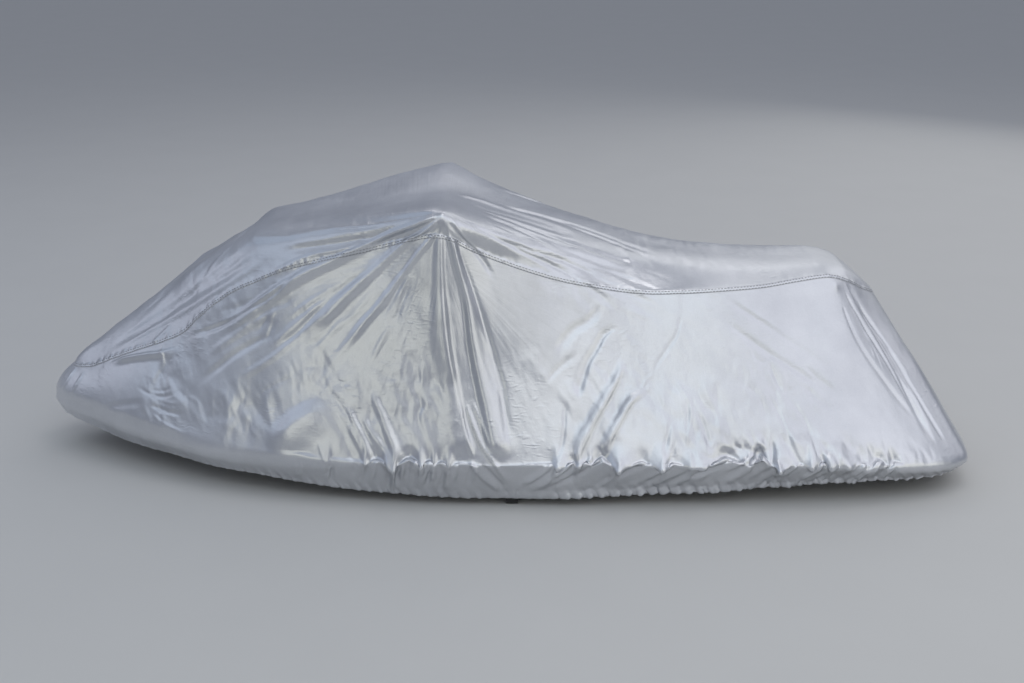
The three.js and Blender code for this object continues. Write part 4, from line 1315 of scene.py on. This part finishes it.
def silverMaterial():
    c = silverCloth
    material, tree, shader = newMaterial("silver_coated_cloth", {"Metallic": c["metallic"]})
    place = placeNode(tree)
    mottle = noiseNode(tree, place, c["mottleScale"], 5.0, 0.6)
    grain = noiseNode(tree, place, c["grainScale"], 3.0, 0.7)
    mottle = mathNode(tree, "MULTIPLY", mottle, 1 - c["grainShare"])
    blend = mathNode(tree, "MULTIPLY_ADD", grain, c["grainShare"], mottle)
    normal = None
    for height, (strength, distance) in (
        (streakHeight(tree, place), c["streakBump"]),
        (creaseHeight(tree, place), c["creaseBump"]),
        (noiseNode(tree, place, c["crinkleScale"], 4.0, 0.55), c["crinkleBump"]),
        (weaveHeight(tree), c["weaveBump"]),
    ):
        inputs = {"Strength": strength, "Distance": distance, "Height": height}
        normal = addNode(tree, "Bump", {**inputs, "Normal": normal} if normal else inputs)
    fillInputs(tree, shader, {
        "Base Color": rampNode(tree, blend, list(zip(c["colorRange"], (c["dark"], c["light"])))),
        "Roughness": rangeNode(tree, blend, *c["roughRange"], *c["roughness"]),
        "Normal": normal,
    })
    return material


# Thread and webbing: the scale and the depth of their fibres, and each one's dark, light and roughness.
thread = {
    "scale": 700.0,
    "bump": {"Strength": 0.5, "Distance": 0.0004},
    "grey": ((0.20, 0.205, 0.215), (0.36, 0.365, 0.38), 0.6),
    "black": ((0.012, 0.012, 0.013), (0.03, 0.03, 0.032), 0.6),
    "webbing": ((0.018, 0.018, 0.019), (0.04, 0.04, 0.042), 0.8),
}


def threadMaterial(name, dark, light, roughness):
    material, tree, shader = newMaterial(name, {"Roughness": roughness})
    noise = noiseNode(tree, placeNode(tree), thread["scale"], 4.0, 0.7)
    fillInputs(tree, shader, {
        "Base Color": rampNode(tree, noise, [(0.3, dark), (0.7, light)]),
        "Normal": addNode(tree, "Bump", {**thread["bump"], "Height": noise}),
    })
    return material


silver = silverMaterial()
greyThread = threadMaterial("grey_thread", *thread["grey"])
blackThread = threadMaterial("black_thread", *thread["black"])
blackWebbing = threadMaterial("black_webbing", *thread["webbing"])

pieces = {
    portPanel: (silver, "silver_cloth", ["port_panel"]),
    starboardPanel: (silver, "silver_cloth", ["starboard_panel"]),
    topCloth: (silver, "silver_cloth", ["top_panel"]),
    portStitches: (greyThread, "silver_cloth", []),
    starboardStitches: (greyThread, "silver_cloth", []),
    portTab: (blackWebbing, "black_webbing", ["port_tab"]),
    starboardTab: (blackWebbing, "black_webbing", ["starboard_tab"]),
    portTabStitches: (blackThread, "black_webbing", []),
    starboardTabStitches: (blackThread, "black_webbing", []),
}
for piece, (material, slot, nodes) in pieces.items():
    piece.data.materials.append(material)
    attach(piece, body)
    if nodes:
        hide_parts(*nodes)
print("finishes given")


# Studio
studio = {
    "floorSize": 120,
    "floorColor": (0.61, 0.61, 0.6),
    # the room's light, from the floor's edge up, by the height of the direction it comes from
    "worldColors": [(0.0, (0.2, 0.22, 0.27)), (0.28, (0.25, 0.27, 0.325)), (0.5, (0.32, 0.345, 0.405))],
    "centre": (0.1, 0.0, 0.35),
    "distance": 6.5,
    # azimuth from the port side towards the stern, elevation, width, height, watts and colour
    "lampColumns": "name azimuth elevation width height watts color".split(),
    "lamps": [
        ["above", 60, 76, 3.0, 2.6, 38, (1.0, 0.97, 0.94)],
        ["key", -2, 54, 4.6, 2.2, 30, (0.88, 0.97, 1.0)],
        ["front", 10, 34, 3.4, 2.1, 20, (1.0, 0.98, 0.88)],
        ["sternSide", 58, 40, 4.6, 3.8, 38, (0.98, 0.97, 1.0)],
        ["lowStern", 45, 14, 6.0, 2.1, 35, (1.0, 0.98, 0.84)],
        ["lowBow", -30, 14, 2.4, 2.1, 14, (1.0, 0.99, 0.8)],
        ["bow", -62, 31, 4.0, 2.8, 13, (0.7, 0.83, 1.0)],
        ["bowTip", -94, 16, 2.3, 2.3, 7, (0.85, 0.88, 1.0)],
        ["farBow", -110, 45, 4.0, 3.6, 10, (0.55, 0.75, 1.0)],
        ["stern", 110, 35, 4.0, 5.0, 31, (1.0, 0.97, 0.97)],
        ["farStern", 145, 26, 4.2, 5.2, 32, (1.0, 0.99, 0.94)],
        ["far", 180, 46, 4.2, 3.4, 25, (1.0, 0.97, 0.95)],
    ],
}


def floorMaterial():
    material, tree, shader = newMaterial("pale_floor", {"Roughness": 0.9, "Specular IOR Level": 0.2})
    low = tuple(v * 0.985 for v in studio["floorColor"])
    noise = noiseNode(tree, placeNode(tree), 3.0, 4.0)
    color = rampNode(tree, noise, [(0.3, low), (0.7, studio["floorColor"])])
    fillInputs(tree, shader, {"Base Color": color})
    return material


def buildStudio():
    s = studio
    half = s["floorSize"] / 2
    corners = [(-half, -half, 0), (half, -half, 0), (half, half, 0), (-half, half, 0)]
    mesh = bpy.data.meshes.new("floor")
    mesh.from_pydata(corners, [], [(0, 1, 2, 3)])
    floor = bpy.data.objects.new("floor", mesh)
    bpy.context.scene.collection.objects.link(floor)
    mesh.materials.append(floorMaterial())
    world = bpy.data.worlds.new("studio")
    world.use_nodes = True
    tree = world.node_tree
    height = axisNode(tree, placeNode(tree, "Generated"), "Z")
    color = rampNode(tree, height, s["worldColors"])
    fillInputs(tree, tree.nodes["Background"], {"Color": color, "Strength": 1.0})
    bpy.context.scene.world = world
    centre = Vector(s["centre"])
    for lamp in rowsOf(s["lampColumns"], s["lamps"]):
        azimuth, elevation = math.radians(lamp["azimuth"]), math.radians(lamp["elevation"])
        level = math.cos(elevation)
        towards = (math.sin(azimuth) * level, -math.cos(azimuth) * level, math.sin(elevation))
        data = bpy.data.lights.new(lamp["name"], "AREA")
        data.shape = "RECTANGLE"
        data.size, data.size_y = lamp["width"], lamp["height"]
        data.energy, data.color = lamp["watts"], lamp["color"]
        light = bpy.data.objects.new(lamp["name"], data)
        light.location = centre + s["distance"] * Vector(towards)
        light.rotation_euler = (-Vector(towards)).to_track_quat("-Z", "Y").to_euler()
        light.visible_camera = False
        bpy.context.scene.collection.objects.link(light)


buildStudio()
view = bpy.context.scene.view_settings
view.view_transform = "Standard"
view.look = "None"
print("studio lit")
